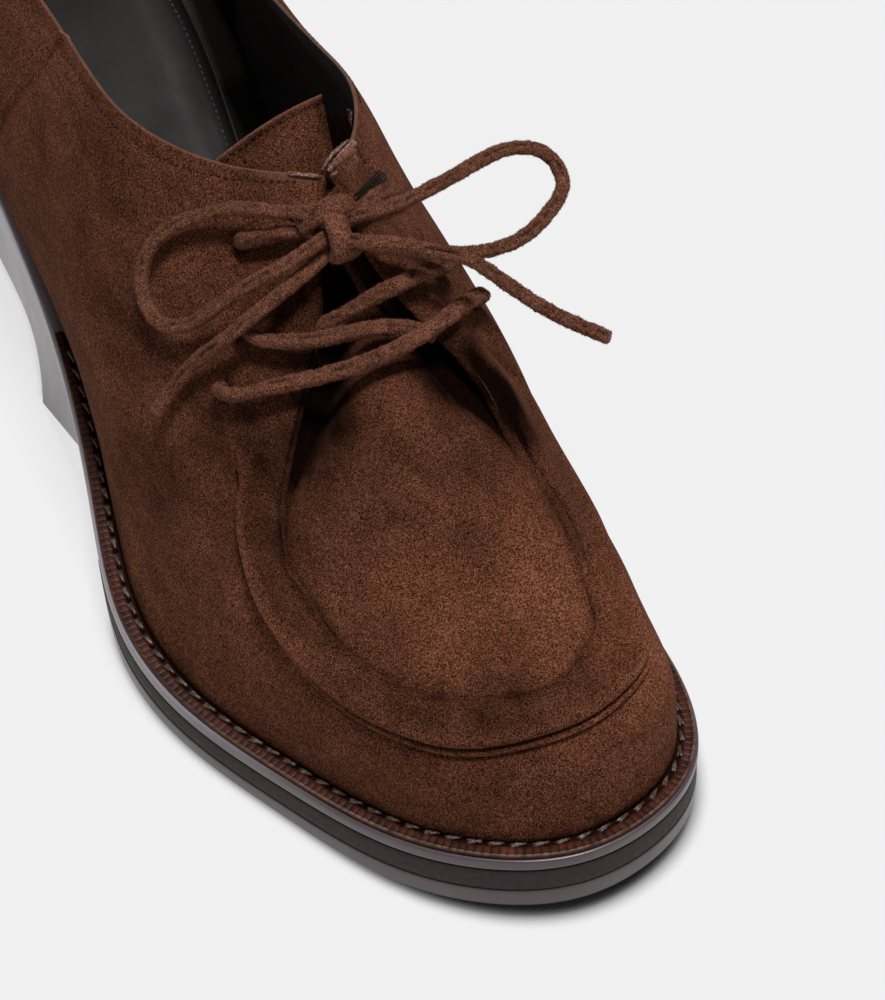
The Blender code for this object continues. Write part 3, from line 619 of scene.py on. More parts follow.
SOLE_LENGTH, RUNNER_THICK, LAYER_GAP, PIECE_GAP = 255.0, 2.6, 0.25, 0.3
FLAT_FROM, FLAT_TO, TOE_SPRING = 163.0, 212.0, 3.2
PLATFORM_END, PLATFORM_TIP = 143.0, 5.3
WELT_WIDTH, HEEL_INSET, WALL = 4.2, 0.9, 2.2

corners = np.array(OUTLINE)
gaps = np.linalg.norm(np.diff(np.vstack([corners, corners[:1]]), axis=0), axis=1)
steps = np.concatenate([[0.0], np.cumsum(np.sqrt(gaps))])
fine_steps = np.linspace(0.0, steps[-1], 4001)
sole_line = closed_spline(steps[:-1], corners, steps[-1])(fine_steps)
sole_arc = along(sole_line)
toe_arc = sole_arc[np.argmin(np.abs(fine_steps - steps[TOE_ROW]))]
seat_line = spline([r[0] for r in SEAT], [r[1] for r in SEAT])


def outline(turn):
    """Place on the sole's edge, seen from above."""
    turn = np.mod(np.asarray(turn, float), 1.0)
    arc = np.where(turn < 0.5, turn * 2 * toe_arc, toe_arc + (turn * 2 - 1) * (sole_arc[-1] - toe_arc))
    return np.stack([np.interp(arc, sole_arc, sole_line[:, 0]), np.interp(arc, sole_arc, sole_line[:, 1])], 1)


def outline_inset(turn, inset):
    """The same, moved inwards."""
    turn = np.asarray(turn, float)
    t = unit(outline(turn + 0.004) - outline(turn - 0.004))
    inward = np.stack([-t[:, 1], t[:, 0]], 1)
    return outline(turn) + inward * np.broadcast_to(inset, turn.shape)[:, None]


def seat(x):
    """Height of the foot bed."""
    return seat_line(np.clip(x, 0.0, SOLE_LENGTH))[:, 0]


def feather_inset(x):
    """How far the upper stands in from the sole's edge: the welt's width, less at the heel."""
    return HEEL_INSET + (WELT_WIDTH - HEEL_INSET) * smoothstep(58.0, 125.0, x)


def sole_bottom(x):
    """Underside of the platform: flat under the ball, lifted at the toe, rising to its end at the waist."""
    toe = TOE_SPRING * (np.clip(x - FLAT_TO, 0.0, None) / (SOLE_LENGTH - FLAT_TO)) ** 2
    room = seat(np.full_like(x, PLATFORM_END))[0] - PLATFORM_TIP
    return toe + room * (np.clip(FLAT_FROM - x, 0.0, None) / (FLAT_FROM - PLATFORM_END)) ** 1.5


def ring(turn, inset, heights):
    """Closed or open row of points along the outline; its height is a function of the way to the toe."""
    p = outline_inset(turn, inset)
    return np.column_stack([p, heights(p[:, 0])])


def turn_at(x, side):
    """Turn at which the outline passes x, on the outer side for -1 and the inner side for 1."""
    t = np.linspace(0.0, 0.5, 1601) if side < 0 else np.linspace(1.0, 0.5, 1601)
    return float(np.interp(x, outline(t)[:, 0], t))


print("sole line", round(float(sole_arc[-1]), 1), "mm around")

# %% [markdown]
# Sole. Three layers show as bands on the edge: a rounded glossy runner that goes on to the heel, a dull
# dark layer and a glossy bottom layer that taper out at the waist. A bevelled extrusion would round
# every edge alike. Each layer is a stack of rings along the outline instead, close together where the
# edge rounds over, because that roundness is what catches the light. The runner's upper edge is
# painted paler on the outer side, a painted reflection of the bright room.

# %% Sole layers
def slab(name, rings, look, marks=None):
    """Closed slab from rings of equal count, bottom to top; each cap is a ladder across the foot."""
    rings = [np.asarray(r, float) for r in rings]
    n = len(rings[0])
    faces = [tuple(f) for f in grid_faces(len(rings), n, wrap_cols=True)]
    top = (len(rings) - 1) * n
    for i in range(n // 2 - 1):
        a, b, c, d = i, i + 1, n - 2 - i, n - 1 - i
        low, high = (a, d, c, b), (top + a, top + b, top + c, top + d)
        faces += [low[:2] + low[3:], high[:2] + high[3:]] if b == c else [low, high]
    marks = {label: np.broadcast_to(np.asarray(values, float).reshape(len(rings), -1), (len(rings), n))
             for label, values in (marks or {}).items()}
    return skin(name, np.vstack(rings), faces, look, marks=marks)


RUNNER_EDGE = np.array([  # share of the thickness, way in from the edge, painted reflection
    (0.0, 2.5, 0.0), (0.0, 0.5, 0.0), (0.02, 0.3, 0.1), (0.06, 0.16, 0.15), (0.12, 0.1, 0.2),
    (0.3, 0.08, 0.3),
    (0.6, 0.08, 0.5), (0.82, 0.1, 0.8), (0.9, 0.18, 1.0), (0.96, 0.36, 1.0), (1.0, 0.7, 1.0),
    (1.0, 3.5, 0.2)])
BOTTOM_EDGE = (  # share of the platform's height, way in from the edge
    (0.0, 3.2), (0.0, 1.5), (0.02, 0.95), (0.06, 0.5), (0.11, 0.25), (0.17, 0.14), (0.3, 0.1), (0.4, 0.1),
    (0.455, 0.12), (0.475, 0.22), (0.48, 0.5), (0.48, 3.0))
DARK_EDGE = (
    (0.49, 3.0), (0.49, 0.6), (0.5, 0.3), (0.53, 0.2), (0.7, 0.18), (0.85, 0.18), (0.96, 0.2), (0.99, 0.3),
    (1.0, 0.6), (1.0, 3.0))

full_turn = np.linspace(0.002, 0.998, 420)
runner = [ring(full_turn, inset, lambda x, w=w: seat(x) - RUNNER_THICK * (1.0 - w))
          for w, inset, _ in RUNNER_EDGE]
edge_way = outline(full_turn)
# painted reflection along the runner's upper edge, strongest on the outer side towards the heel
outer_painted_reflection = 0.75 - 0.70 * smoothstep(170.0, 225.0, edge_way[:, 0])
painted_reflection = RUNNER_EDGE[:, 2:] * np.where(edge_way[:, 1] < 0.0, outer_painted_reflection, 0.05)[None]
wear(slab("runner_edge", runner, LACQUER, marks={"pale_edge_and_reflection": painted_reflection}), "lacquer", "sole_runner")

front_turn = np.linspace(turn_at(PLATFORM_END, -1), turn_at(PLATFORM_END, 1), 320)


def layer(part):
    """Height at a share of the platform, between the floor side and the runner."""
    def height(x):
        low = sole_bottom(x)
        return low + (seat(x) - RUNNER_THICK - LAYER_GAP - low) * part
    return height


bottom_layer = [ring(front_turn, inset, layer(part)) for part, inset in BOTTOM_EDGE]
wear(slab("bottom_layer", bottom_layer, LACQUER), "lacquer", "outsole")
dark_layer = [ring(front_turn, inset, layer(part)) for part, inset in DARK_EDGE]
wear(slab("dark_layer", dark_layer, RUBBER), "dark_rubber", "midsole")

# %% [markdown]
# Heel. The block is lacquered like the sole edge, in a paler copy of that lacquer whose lighter colour
# is painted reflection of the bright room, and its front face slants back towards the floor. A cube
# would have to be cut to the curve of the foot bed and tapered by hand. A stack of rings has both at
# once: each one lies between the outline under the runner and a smaller one on the floor, and the first
# and last rings draw in a little, so that the edges are rounded.

# %% Heel block
HEEL_FRONT, HEEL_FLOOR_FRONT, HEEL_FLOOR_BACK = 119.0, 89.0, 8.0
HEEL_STACK = (  # share of the height, share of the width
    (0.0, 0.93), (0.003, 0.962), (0.012, 0.985), (0.03, 0.997), (0.06, 1.0), (0.2, 1.0), (0.35, 1.0),
    (0.5, 1.0),
    (0.65, 1.0), (0.8, 1.0), (0.93, 1.0), (0.975, 0.998), (0.99, 0.988), (1.0, 0.965))

back_turn = np.concatenate([np.linspace(turn_at(HEEL_FRONT, 1), 0.999, 120),
                            np.linspace(0.001, turn_at(HEEL_FRONT, -1), 120)])
rim = outline_inset(back_turn, 0.8)
ahead = np.clip(rim[:, 0] / HEEL_FRONT, 0.0, 1.0)
ground_x = HEEL_FLOOR_BACK + ahead * (HEEL_FLOOR_FRONT - HEEL_FLOOR_BACK)
ground_y = rim[:, 1] * (0.80 + 0.13 * ahead)
top_z = seat(rim[:, 0]) - RUNNER_THICK - LAYER_GAP
mid_x = 0.5 * (HEEL_FLOOR_BACK + HEEL_FLOOR_FRONT)
heel_rings = []
for part, narrow in HEEL_STACK:
    x = ground_x + (rim[:, 0] - ground_x) * part
    y = (ground_y + (rim[:, 1] - ground_y) * part) * narrow
    x = mid_x + (x - mid_x) * (0.5 + 0.5 * narrow)
    heel_rings.append(np.column_stack([x, y, top_z * part])[::-1])
wear(slab("heel_block", heel_rings, HEEL_LACQUER_PAINTED_PALE), "lacquer", "heel")

# %% [markdown]
# Stitches, needle holes and loose fibres repeat by the hundred, so they are Geometry Nodes. One tree
# lays a small rounded grain every so many millimetres along a line and turns it to the surface normal
# stored on that line. Its sizes are inputs, so the same tree gives the stitches of the welt, the sock
# and the upper, and the near-black grains between them, painted shade inside the needle holes. The
# result is turned into a plain mesh at once.

# %% Geometry Nodes: helpers
def new_tree(name, **inputs):
    """Empty tree with one socket for each input, and the sockets that give their values."""
    tree = bpy.data.node_groups.new(name, "GeometryNodeTree")
    for label, kind in {"Geometry": "Geometry", **inputs}.items():
        tree.interface.new_socket(label, in_out="INPUT", socket_type="NodeSocket" + kind)
    tree.interface.new_socket("Geometry", in_out="OUTPUT", socket_type="NodeSocketGeometry")
    return tree, tree.nodes.new("NodeGroupInput").outputs


def turned(tree, rotation, angles):
    """A rotation turned further by Euler angles about its own axes."""
    euler = add_node(tree, "FunctionNodeEulerToRotation", {"Euler": angles})
    local = add_node(tree, "FunctionNodeRotateRotation", {
        "Rotation": rotation, "Rotate By": euler.outputs["Rotation"]}, rotation_space="LOCAL")
    return local.outputs["Rotation"]


def hand_out(tree, points, shape, rotation, scale, finish, smooth):
    """Copies of a shape on points, as one real mesh with its finish."""
    laid = add_node(tree, "GeometryNodeInstanceOnPoints", {
        "Points": points, "Instance": shape, "Rotation": rotation, "Scale": scale})
    last = add_node(tree, "GeometryNodeRealizeInstances", {"Geometry": laid.outputs["Instances"]})
    if smooth:
        last = add_node(tree, "GeometryNodeSetShadeSmooth", {"Geometry": last.outputs["Geometry"]})
    last = add_node(tree, "GeometryNodeSetMaterial", {
        "Geometry": last.outputs["Geometry"], "Material": finish})
    add_node(tree, "NodeGroupOutput", {"Geometry": last.outputs["Geometry"]})


def through_tree(name, source, tree, values):
    """Run a tree on an object and keep the result as a plain mesh object."""
    modifier = source.modifiers.new("shape", "NODES")
    modifier.node_group = tree
    for socket in tree.interface.items_tree:
        if socket.item_type == "SOCKET" and socket.in_out == "INPUT" and socket.name in values:
            modifier[socket.identifier] = values[socket.name]
    graph = bpy.context.evaluated_depsgraph_get()
    data = bpy.data.meshes.new_from_object(source.evaluated_get(graph), depsgraph=graph)
    source.modifiers.remove(modifier)
    item = bpy.data.objects.new(name, data)
    scene.collection.objects.link(item)
    return item


print("tree helpers ready")

# %% Geometry Nodes: grains along a line
def grains_tree():
    tree, given = new_tree("grains_along_line", Pitch="Float", Length="Float", Width="Float", Rise="Float",
                           Slant="Float", Waver="Float", Seed="Int", Finish="Material")
    line = add_node(tree, "GeometryNodeMeshToCurve", {"Mesh": given["Geometry"]})
    spaced = add_node(tree, "GeometryNodeResampleCurve", {
        "Curve": line.outputs["Curve"], "Length": given["Pitch"]}, mode="LENGTH")
    grain = add_node(tree, "GeometryNodeMeshUVSphere", {"Segments": 8, "Rings": 5, "Radius": 0.5})
    tangent = add_node(tree, "GeometryNodeInputTangent")
    up = add_node(tree, "GeometryNodeInputNamedAttribute", {"Name": "face_up"}, data_type="FLOAT_VECTOR")
    level = add_node(tree, "FunctionNodeAlignRotationToVector", {
        "Vector": tangent.outputs["Tangent"]}, axis="X")
    upright = add_node(tree, "FunctionNodeAlignRotationToVector", {
        "Rotation": level.outputs["Rotation"], "Vector": up.outputs["Attribute"]}, axis="Z", pivot_axis="X")
    chance = add_node(tree, "FunctionNodeRandomValue", {"Min": -1.0, "Max": 1.0, "Seed": given["Seed"]},
                      data_type="FLOAT")
    slant = add_node(tree, "ShaderNodeMath", {
        0: chance.outputs[1], 1: given["Waver"], 2: given["Slant"]}, operation="MULTIPLY_ADD")
    spin = add_node(tree, "ShaderNodeCombineXYZ", {"Z": slant.outputs[0]})
    size = add_node(tree, "ShaderNodeCombineXYZ", {
        "X": given["Length"], "Y": given["Width"], "Z": given["Rise"]})
    rotation = turned(tree, upright.outputs["Rotation"], spin.outputs[0])
    hand_out(tree, spaced.outputs["Curve"], grain.outputs["Mesh"], rotation, size.outputs[0],
             given["Finish"], True)
    return tree


GRAINS = grains_tree()


def grains(name, lines, look, pitch, length, width, rise, slant=0.0, waver=0.08, seed=1):
    """Grains along several lines; each line is (points, normals) in millimetres."""
    verts, ups, edges = [], [], []
    for points, normals in lines:
        start = len(verts)
        verts += [tuple(v) for v in into_frame(points)]
        ups += [tuple(v) for v in normals]
        edges += [(start + i, start + i + 1) for i in range(len(points) - 1)]
    data = bpy.data.meshes.new(name + "_line")
    data.from_pydata(verts, edges, [])
    face_up = data.attributes.new("face_up", "FLOAT_VECTOR", "POINT")
    face_up.data.foreach_set("vector", np.array(ups, np.float32).ravel())
    source = bpy.data.objects.new(name + "_line", data)
    scene.collection.objects.link(source)
    bpy.context.view_layer.update()
    item = through_tree(name, source, GRAINS, {
        "Pitch": pitch * 0.001, "Length": length * 0.001, "Width": width * 0.001, "Rise": rise * 0.001,
        "Slant": slant, "Waver": waver, "Seed": seed, "Finish": look})
    bpy.data.objects.remove(source, do_unlink=True)
    return item


print("tree", GRAINS.name, "nodes", len(GRAINS.nodes))

# %% [markdown]
# Welt: the narrow leather rim that joins the upper to the sole. Its top is pressed by a toothed wheel
# into ribs across it, and a row of thick waxed stitches runs along it close to the upper. Its outer face
# is darker, and its top outer edge paler, partly as rubbed wear and partly as painted highlight. The
# strip itself is a short profile swept along the outline. The ribs are grooves in its fine columns,
# because grains laid on top would look like beads, and painted shade darkens each groove and the strip
# beside the upper.

# %% Welt, ribs and welt stitches
RIB_PITCH, WELT_STITCH, WELT_BARE = 1.5, 4.05, 6.0
welt_turn = np.linspace(turn_at(96.0, -1), turn_at(96.0, 1), 2600)
welt_wide = feather_inset(outline(welt_turn)[:, 0])
welt_out = np.minimum(0.7, 0.3 * welt_wide)
WELT_PROFILE = np.array([  # share of the width from the edge, height, depth of a rib's groove, tone (painted shade beside the upper)
    (0.0, 0.05, 0.0, -0.5), (0.0, 0.70, 0.0, -0.3), (0.03, 1.00, 0.08, 0.0), (0.10, 1.16, 0.16, 0.1),
    (0.15, 1.18, 0.18, -0.1),
    (0.18, 1.16, 0.22, -0.5), (0.22, 1.20, 0.24, -0.1), (0.36, 1.30, 0.26, 0.1), (0.50, 1.34, 0.26, 0.1),
    (0.60, 1.30, 0.20, 0.0),
    (0.64, 1.15, 0.0, -0.5), (0.78, 0.95, 0.0, -0.8), (0.92, 0.80, 0.0, -1.0), (1.0, 0.70, 0.0, -1.0),
    (1.12, 0.60, 0.0, -1.0),
    (1.12, 0.05, 0.0, -1.0)])
welt_grid = np.stack([ring(welt_turn, welt_out + (welt_wide - welt_out) * s, lambda x, h=h: seat(x) + h)
                      for s, h in WELT_PROFILE[:, :2]], 1)
crest = welt_grid[:, 8]
groove = (0.5 + 0.5 * np.cos(2.0 * np.pi * along(crest) / RIB_PITCH + 0.6 * swell(crest, 7.0, 61))) ** 5.0
groove = (groove * (0.75 + 0.25 * swell(crest, 2.0, 62)))[:, None]
welt_grid[..., 2] -= groove * WELT_PROFILE[:, 2]
welt_grid[..., 2] += 0.05 * swell(welt_grid, 3.0, 63)
# painted shade in each rib's groove and in the strip beside the upper, with random tone
welt_tone_and_shade = WELT_PROFILE[:, 3] - 3.0 * groove * WELT_PROFILE[:, 2] + 0.25 * swell(welt_grid, 5.0, 64)
toe_front = window(0.30, 0.42, 0.56, 0.64, welt_turn)[:, None]
welt_raw = np.zeros(welt_grid.shape[:2])
# paler top outer edge, most at the toe front: partly rubbed wear, partly painted highlight
rubbed_and_lit_edge = (0.05 + 0.42 * toe_front) * (0.7 + 0.6 * swell(welt_grid[:, 3:4], 1.2, 65)) * (1.0 - 0.6 * groove)
welt_raw[:, 2:4] = rubbed_and_lit_edge
count = len(WELT_PROFILE)
faces = [tuple(f) for f in grid_faces(len(welt_turn), count, wrap_cols=True)]
faces += [tuple(range(count))[::-1], tuple((len(welt_turn) - 1) * count + k for k in range(count))]
welt = skin("welt_rim", welt_grid.reshape(-1, 3), faces, WELT_LEATHER,
            marks={"tone": welt_tone_and_shade, "pale_edge_and_reflection": np.clip(welt_raw, 0.0, 1.0)})
wear(welt, "welt_leather", "welt")


def welt_line(share, lift, start):
    """Line along the welt at a share of its width, with its normals, short of both ends."""
    p = ring(welt_turn, welt_out + (welt_wide - welt_out) * share, lambda x: seat(x) + lift)
    slope = np.gradient(p, axis=0)
    normals = unit(np.cross(unit(np.cross(slope, [0.0, 0.0, 1.0])), slope))
    keep = (along(p) > WELT_BARE + start) & (along(p) < along(p)[-1] - WELT_BARE)
    return p[keep][::3], normals[keep][::3]


PLIES = (  # name, share of the width, lift, slant, start, seed
    ("welt_stitches", 0.74, 1.42, 0.30, 0.0, 5), ("welt_stitch_plies", 0.80, 1.40, 0.02, 0.25, 6))
for name, share, lift, slant, start, seed in PLIES:
    ply = grains(name, [welt_line(share, lift, start)], WAXED_THREAD, WELT_STITCH, 3.3, 0.72, 0.75,
                 slant=slant, waver=0.1, seed=seed)
    wear(ply, "welt_leather")
# near-black grains between the welt stitches: painted shade inside the awl holes
awl_line = welt_line(0.77, 1.12, 0.5 * WELT_STITCH)
awl_hole_shade = grains("welt_awl_hole_shades", [awl_line], NEEDLE_HOLE_SHADE, WELT_STITCH, 0.9, 1.3, 0.45, seed=7)
wear(awl_hole_shade, "welt_leather")

# %% [markdown]
# Sock and inner sole: the foot bed inside is covered with smooth black leather, rolled up at its edge
# and lower in the middle, with one row of brown stitches a few millimetres in from the rim, a dark
# strip around them and a paler border beside the heel. It is a slab like the sole layers, because its
# edge follows the same outline, and each row of its table has its own marks. Its tone is painted shade
# along the wall and a painted highlight on the slope just inside the stitches.

# %% Sock with its stitch row
SOCK = np.array([  # way in from the wall, height, tone (painted shade along the wall, painted highlight on the slope), bare edge, dark strip
    (0.9, 0.0, -0.8, 0.0, 0.0), (0.85, 1.4, -0.8, 0.0, 0.0), (1.2, 2.1, -0.8, 0.0, 0.0),
    (3.0, 2.5, -0.8, 0.0, 0.0),
    (5.5, 2.7, -0.8, 0.0, 0.0), (7.4, 2.75, -0.8, 0.0, 0.0), (7.6, 2.9, -0.5, 0.0, 0.0),
    (7.7, 3.35, 0.0, 0.55, 0.0),
    (8.0, 3.6, 0.0, 0.5, 0.0), (8.3, 3.65, 0.0, 0.0, 0.4), (9.6, 3.72, 0.0, 0.0, 0.45),
    (10.4, 3.64, -0.2, 0.0, 0.5),
    (11.2, 3.6, -0.4, 0.0, 0.3), (12.2, 3.45, 0.0, 0.0, 0.1), (13.4, 3.15, 0.8, 0.0, 0.0),
    (14.8, 2.78, 0.8, 0.0, 0.0),
    (16.4, 2.5, 0.4, 0.0, 0.0), (18.0, 2.38, 0.0, 0.0, 0.0)])


def inside_wall(turn, inset, lift):
    """Row of points so far in from the upper's wall and so high over the foot bed."""
    edge = feather_inset(outline(turn)[:, 0]) + WALL
    return ring(turn, edge + inset, lambda x: seat(x) + PIECE_GAP + lift)


bed = [inside_wall(full_turn, inset, lift) for inset, lift in SOCK[:, :2]]
near_heel = 0.10 + 0.34 * smoothstep(64.0, 60.0, outline(full_turn)[:, 0])
beside = (SOCK[:, 0] < 7.5)[:, None] * near_heel[None]
sock = slab("sock", bed, SOCK_LEATHER, marks={
    "tone": SOCK[:, 2], "pale_edge_and_reflection": SOCK[:, 3:4] + beside, "hole": SOCK[:, 4]})
wear(sock, "lining", "insole")

sock_line = inside_wall(np.linspace(0.62, 1.38, 400), 10.4, 3.68)
upwards = np.tile([0.0, 0.0, 1.0], (len(sock_line), 1))
sock_seam = grains("sock_stitches", [(sock_line, upwards)], SOCK_THREAD, 1.5, 1.15, 0.48, 0.42,
                   waver=0.2, seed=11)
wear(sock_seam, "lining")

# %% [markdown]
# Upper. Each section of the wall is given by three points: its foot on the sole, a middle point, which
# in the toe region is the lip of the raised band, and its top edge at the collar or the throat. Smooth
# curves run through the sections along the shoe and through the three points up each wall, as leather
# runs over a last.

# %% Sections of the upper
UPPER = (
    (0.6, 0.0, 77.0, 7.0, 0.0, 110.0), (5.5, -17.2, 76.5, 13.0, -14.5, 108.5),
    (22.0, -28.3, 74.0, 28.5, -22.3, 102.0),
    (50.0, -31.3, 67.0, 52.0, -23.8, 93.6), (79.0, -33.0, 60.0, 78.0, -22.0, 90.2),
    (105.0, -35.0, 55.5, 101.0, -22.3, 90.0), (121.0, -36.8, 54.5, 115.0, -20.0, 90.0),
    (133.0, -36.5, 55.0, 127.0, -14.0, 90.0), (143.0, -35.0, 55.0, 136.0, -5.5, 90.0),
    (151.0, -32.4, 56.0, 142.5, 4.6, 90.0), (160.0, -30.4, 55.8, 149.0, 1.3, 86.3),
    (168.4, -29.2, 55.0, 157.0, -3.2, 80.3),
    (175.0, -28.9, 53.0, 165.0, -7.8, 73.4), (179.6, -31.2, 49.8, 174.0, -16.3, 65.0),
    (184.2, -32.6, 47.0, 182.7, -24.1, 57.0), (190.0, -33.6, 44.0, 189.0, -27.4, 53.5),
    (195.7, -33.7, 41.8, 194.2, -29.1, 51.0), (203.5, -32.8, 40.0, 200.5, -28.5, 49.0),
    (212.1, -31.1, 39.2, 207.7, -27.9, 46.2), (219.5, -28.6, 38.7, 214.1, -26.1, 44.9),
    (228.2, -23.5, 38.5, 222.5, -21.6, 43.6), (234.8, -17.5, 38.5, 228.8, -14.9, 42.8),
    (240.8, -1.5, 39.0, 235.3, 1.6, 42.8),
    (239.5, 16.0, 40.4, 232.4, 12.8, 45.0), (233.4, 24.2, 42.6, 229.0, 17.0, 47.6),
    (221.4, 25.6, 46.0, 219.2, 18.7, 53.0),
    (207.3, 27.3, 49.0, 208.8, 19.7, 57.0), (193.4, 28.0, 52.5, 196.3, 18.0, 63.2),
    (180.2, 28.6, 56.5, 185.0, 17.5, 69.0),
    (168.0, 28.9, 60.0, 174.0, 13.0, 75.5), (157.0, 28.9, 62.5, 162.5, 8.3, 82.5),
    (148.0, 29.2, 64.0, 152.0, 6.9, 87.6),
    (140.0, 29.6, 64.5, 143.0, 7.4, 90.0), (131.0, 30.0, 64.5, 137.5, 13.6, 90.0),
    (120.0, 30.3, 64.0, 126.0, 20.0, 90.0),
    (104.0, 30.3, 63.5, 111.0, 20.6, 90.0), (84.0, 29.8, 64.5, 92.0, 18.4, 90.0),
    (60.0, 29.4, 68.0, 68.0, 18.0, 91.2),
    (38.0, 28.8, 71.5, 42.0, 20.8, 96.5), (20.0, 26.2, 74.5, 25.0, 20.5, 103.5),
    (5.5, 16.4, 76.5, 12.5, 13.7, 108.6))
LATERAL_CORNER, MEDIAL_CORNER = 9, 32
LIP_SPAN = (10.9, 12.7, 27.5, 30.0)
TOE_SPAN = (16.0, 20.0, 24.0, 27.0)
TOE_RIM, LIP_STEP = 1.3, 1.6

section = np.array(UPPER)
search = np.linspace(0.0, 1.0, 4001)[:-1]
feather = outline_inset(search, feather_inset(outline(search)[:, 0]))
row_turn = np.array([search[np.argmin(np.linalg.norm(feather - m[:2], axis=1))] for m in section])
row_turn[0] = 0.0
mid_line = closed_spline(row_turn, section[:, :3], 1.0)
throat_rows = slice(LATERAL_CORNER, MEDIAL_CORNER + 1)
throat_line = spline(row_turn[throat_rows], section[throat_rows, 3:])
collar_line = spline(np.concatenate([row_turn[MEDIAL_CORNER:] - 1.0, row_turn[:LATERAL_CORNER + 1]]),
                     np.concatenate([section[MEDIAL_CORNER:, 3:], section[:LATERAL_CORNER + 1, 3:]]))
LATERAL, MEDIAL = row_turn[LATERAL_CORNER], row_turn[MEDIAL_CORNER]


def row_of(turn):
    """Row of the table at a turn, with the part in between."""
    return np.interp(np.mod(turn, 1.0), np.append(row_turn, 1.0), np.arange(len(row_turn) + 1.0))


def turn_of(row):
    return np.interp(row, np.arange(len(row_turn) + 1.0), np.append(row_turn, 1.0))


def three_points(turn, on_throat):
    """Foot, middle point and top edge of the wall at each turn."""
    p = outline_inset(turn, feather_inset(outline(turn)[:, 0]))
    foot = np.column_stack([p, seat(p[:, 0]) + PIECE_GAP])
    top = throat_line(turn) if on_throat else collar_line(np.where(turn > 0.5, turn - 1.0, turn))
    return foot, mid_line(turn), top


def wall(turn, way, on_throat):
    """Points up each section: way 0 at the foot, 1 at the middle point, 2 at the top edge."""
    f, m, t = three_points(turn, on_throat)
    low = np.linalg.norm(m - f, axis=1, keepdims=True)
    high = np.linalg.norm(t - m, axis=1, keepdims=True)
    d_mid = ((m - f) / low * high + (t - m) / high * low) / (low + high)
    d_foot = 1.5 * (m - f) / low - 0.5 * d_mid
    d_top = 1.5 * (t - m) / high - 0.5 * d_mid
    ends = (f, m, t, d_foot * low, d_mid * low, d_mid * high, d_top * high)
    f, m, t, a, b, c, d = (v[:, None] for v in ends)
    w = np.asarray(way, float)[..., None]
    lower = hermite(f, m, a, b, np.clip(w, 0, 1))
    return np.where(w <= 1.0, lower, hermite(m, t, c, d, np.clip(w - 1.0, 0, 1)))


def wall_with_normals(turn, way, on_throat):
    """Points on the wall, their normals and the direction up the wall."""
    turn = np.asarray(turn, float)
    way = np.broadcast_to(np.atleast_2d(way), (len(turn), np.atleast_2d(way).shape[1]))
    lo, hi = turn - 1e-3, turn + 1e-3
    if on_throat:
        lo, hi = np.clip(lo, LATERAL, MEDIAL), np.clip(hi, LATERAL, MEDIAL)
    across = wall(hi, way, on_throat) - wall(lo, way, on_throat)
    over, under = np.clip(way + 0.02, 0, 2), np.clip(way - 0.02, 0, 2)
    up = wall(turn, over, on_throat) - wall(turn, under, on_throat)
    return wall(turn, way, on_throat), unit(np.cross(across, up)), unit(up)


def lengths(turn, on_throat):
    """Straight way from foot to middle point and from there to the top edge."""
    f, m, t = three_points(np.asarray(turn, float), on_throat)
    return np.linalg.norm(m - f, axis=1), np.linalg.norm(t - m, axis=1)


print("upper sections", len(UPPER), "throat from turn", round(LATERAL, 3), "to", round(MEDIAL, 3))

# %% [markdown]
# The moccasin lip is a fold: the band's edge hangs over the vamp, with a groove under it and a second
# thin cut edge a few millimetres lower around the toe. A height map can't hang over, so the profile is
# a list of pairs, way along the wall and height off it, and the mesh follows it. Where there is no lip
# the same rows slide onto the plain wall. Soft creases, patches of nap, punched holes and the raw rim
# are added on top. The tone paints shade in the groove, the creases, the hollows and the holes, and
# paints light on the lip's crest and on parts of the toe.

# %% Tables of the upper's relief
PROFILE = np.array([  # way from the lip, height, height added by the cut edge, way where there is no lip
    (-8.0, -1.00, 0.00, -8.0), (-6.5, -1.18, 0.00, -6.9), (-5.2, -1.34, 0.00, -5.9),
    (-4.3, -1.45, -0.10, -5.0),
    (-3.85, -1.50, -0.25, -4.2), (-3.6, -1.50, 0.10, -3.5), (-3.35, -1.50, 0.75, -2.9),
    (-2.9, -1.50, 0.90, -2.3),
    (-2.3, -1.58, 0.80, -1.8), (-1.8, -1.72, 0.60, -1.3), (-1.3, -2.05, 0.15, -0.8),
    (-0.8, -2.40, 0.0, -0.4),
    (-0.55, -2.15, 0.0, 0.0), (-0.8, -1.55, 0.0, 0.4), (-1.3, -1.00, 0.0, 0.8), (-1.55, -0.40, 0.0, 1.2),
    (-1.35, 0.15, 0.0, 1.6),
    (-0.8, 0.70, 0.0, 2.1), (0.0, 1.02, 0.0, 2.7), (0.9, 1.06, 0.0, 3.3), (2.0, 0.80, 0.0, 4.0),
    (3.4, 0.44, 0.0, 4.8),
    (5.0, 0.30, 0.0, 5.6), (6.3, 0.20, 0.0, 6.4)])
HOLES = np.array([(159.9, -25.0, 62.7), (154.4, -17.5, 71.4), (142.8, -11.5, 80.3),
                  (162.5, 26.0, 65.5), (158.3, 20.5, 72.9), (143.0, 19.0, 79.0)])
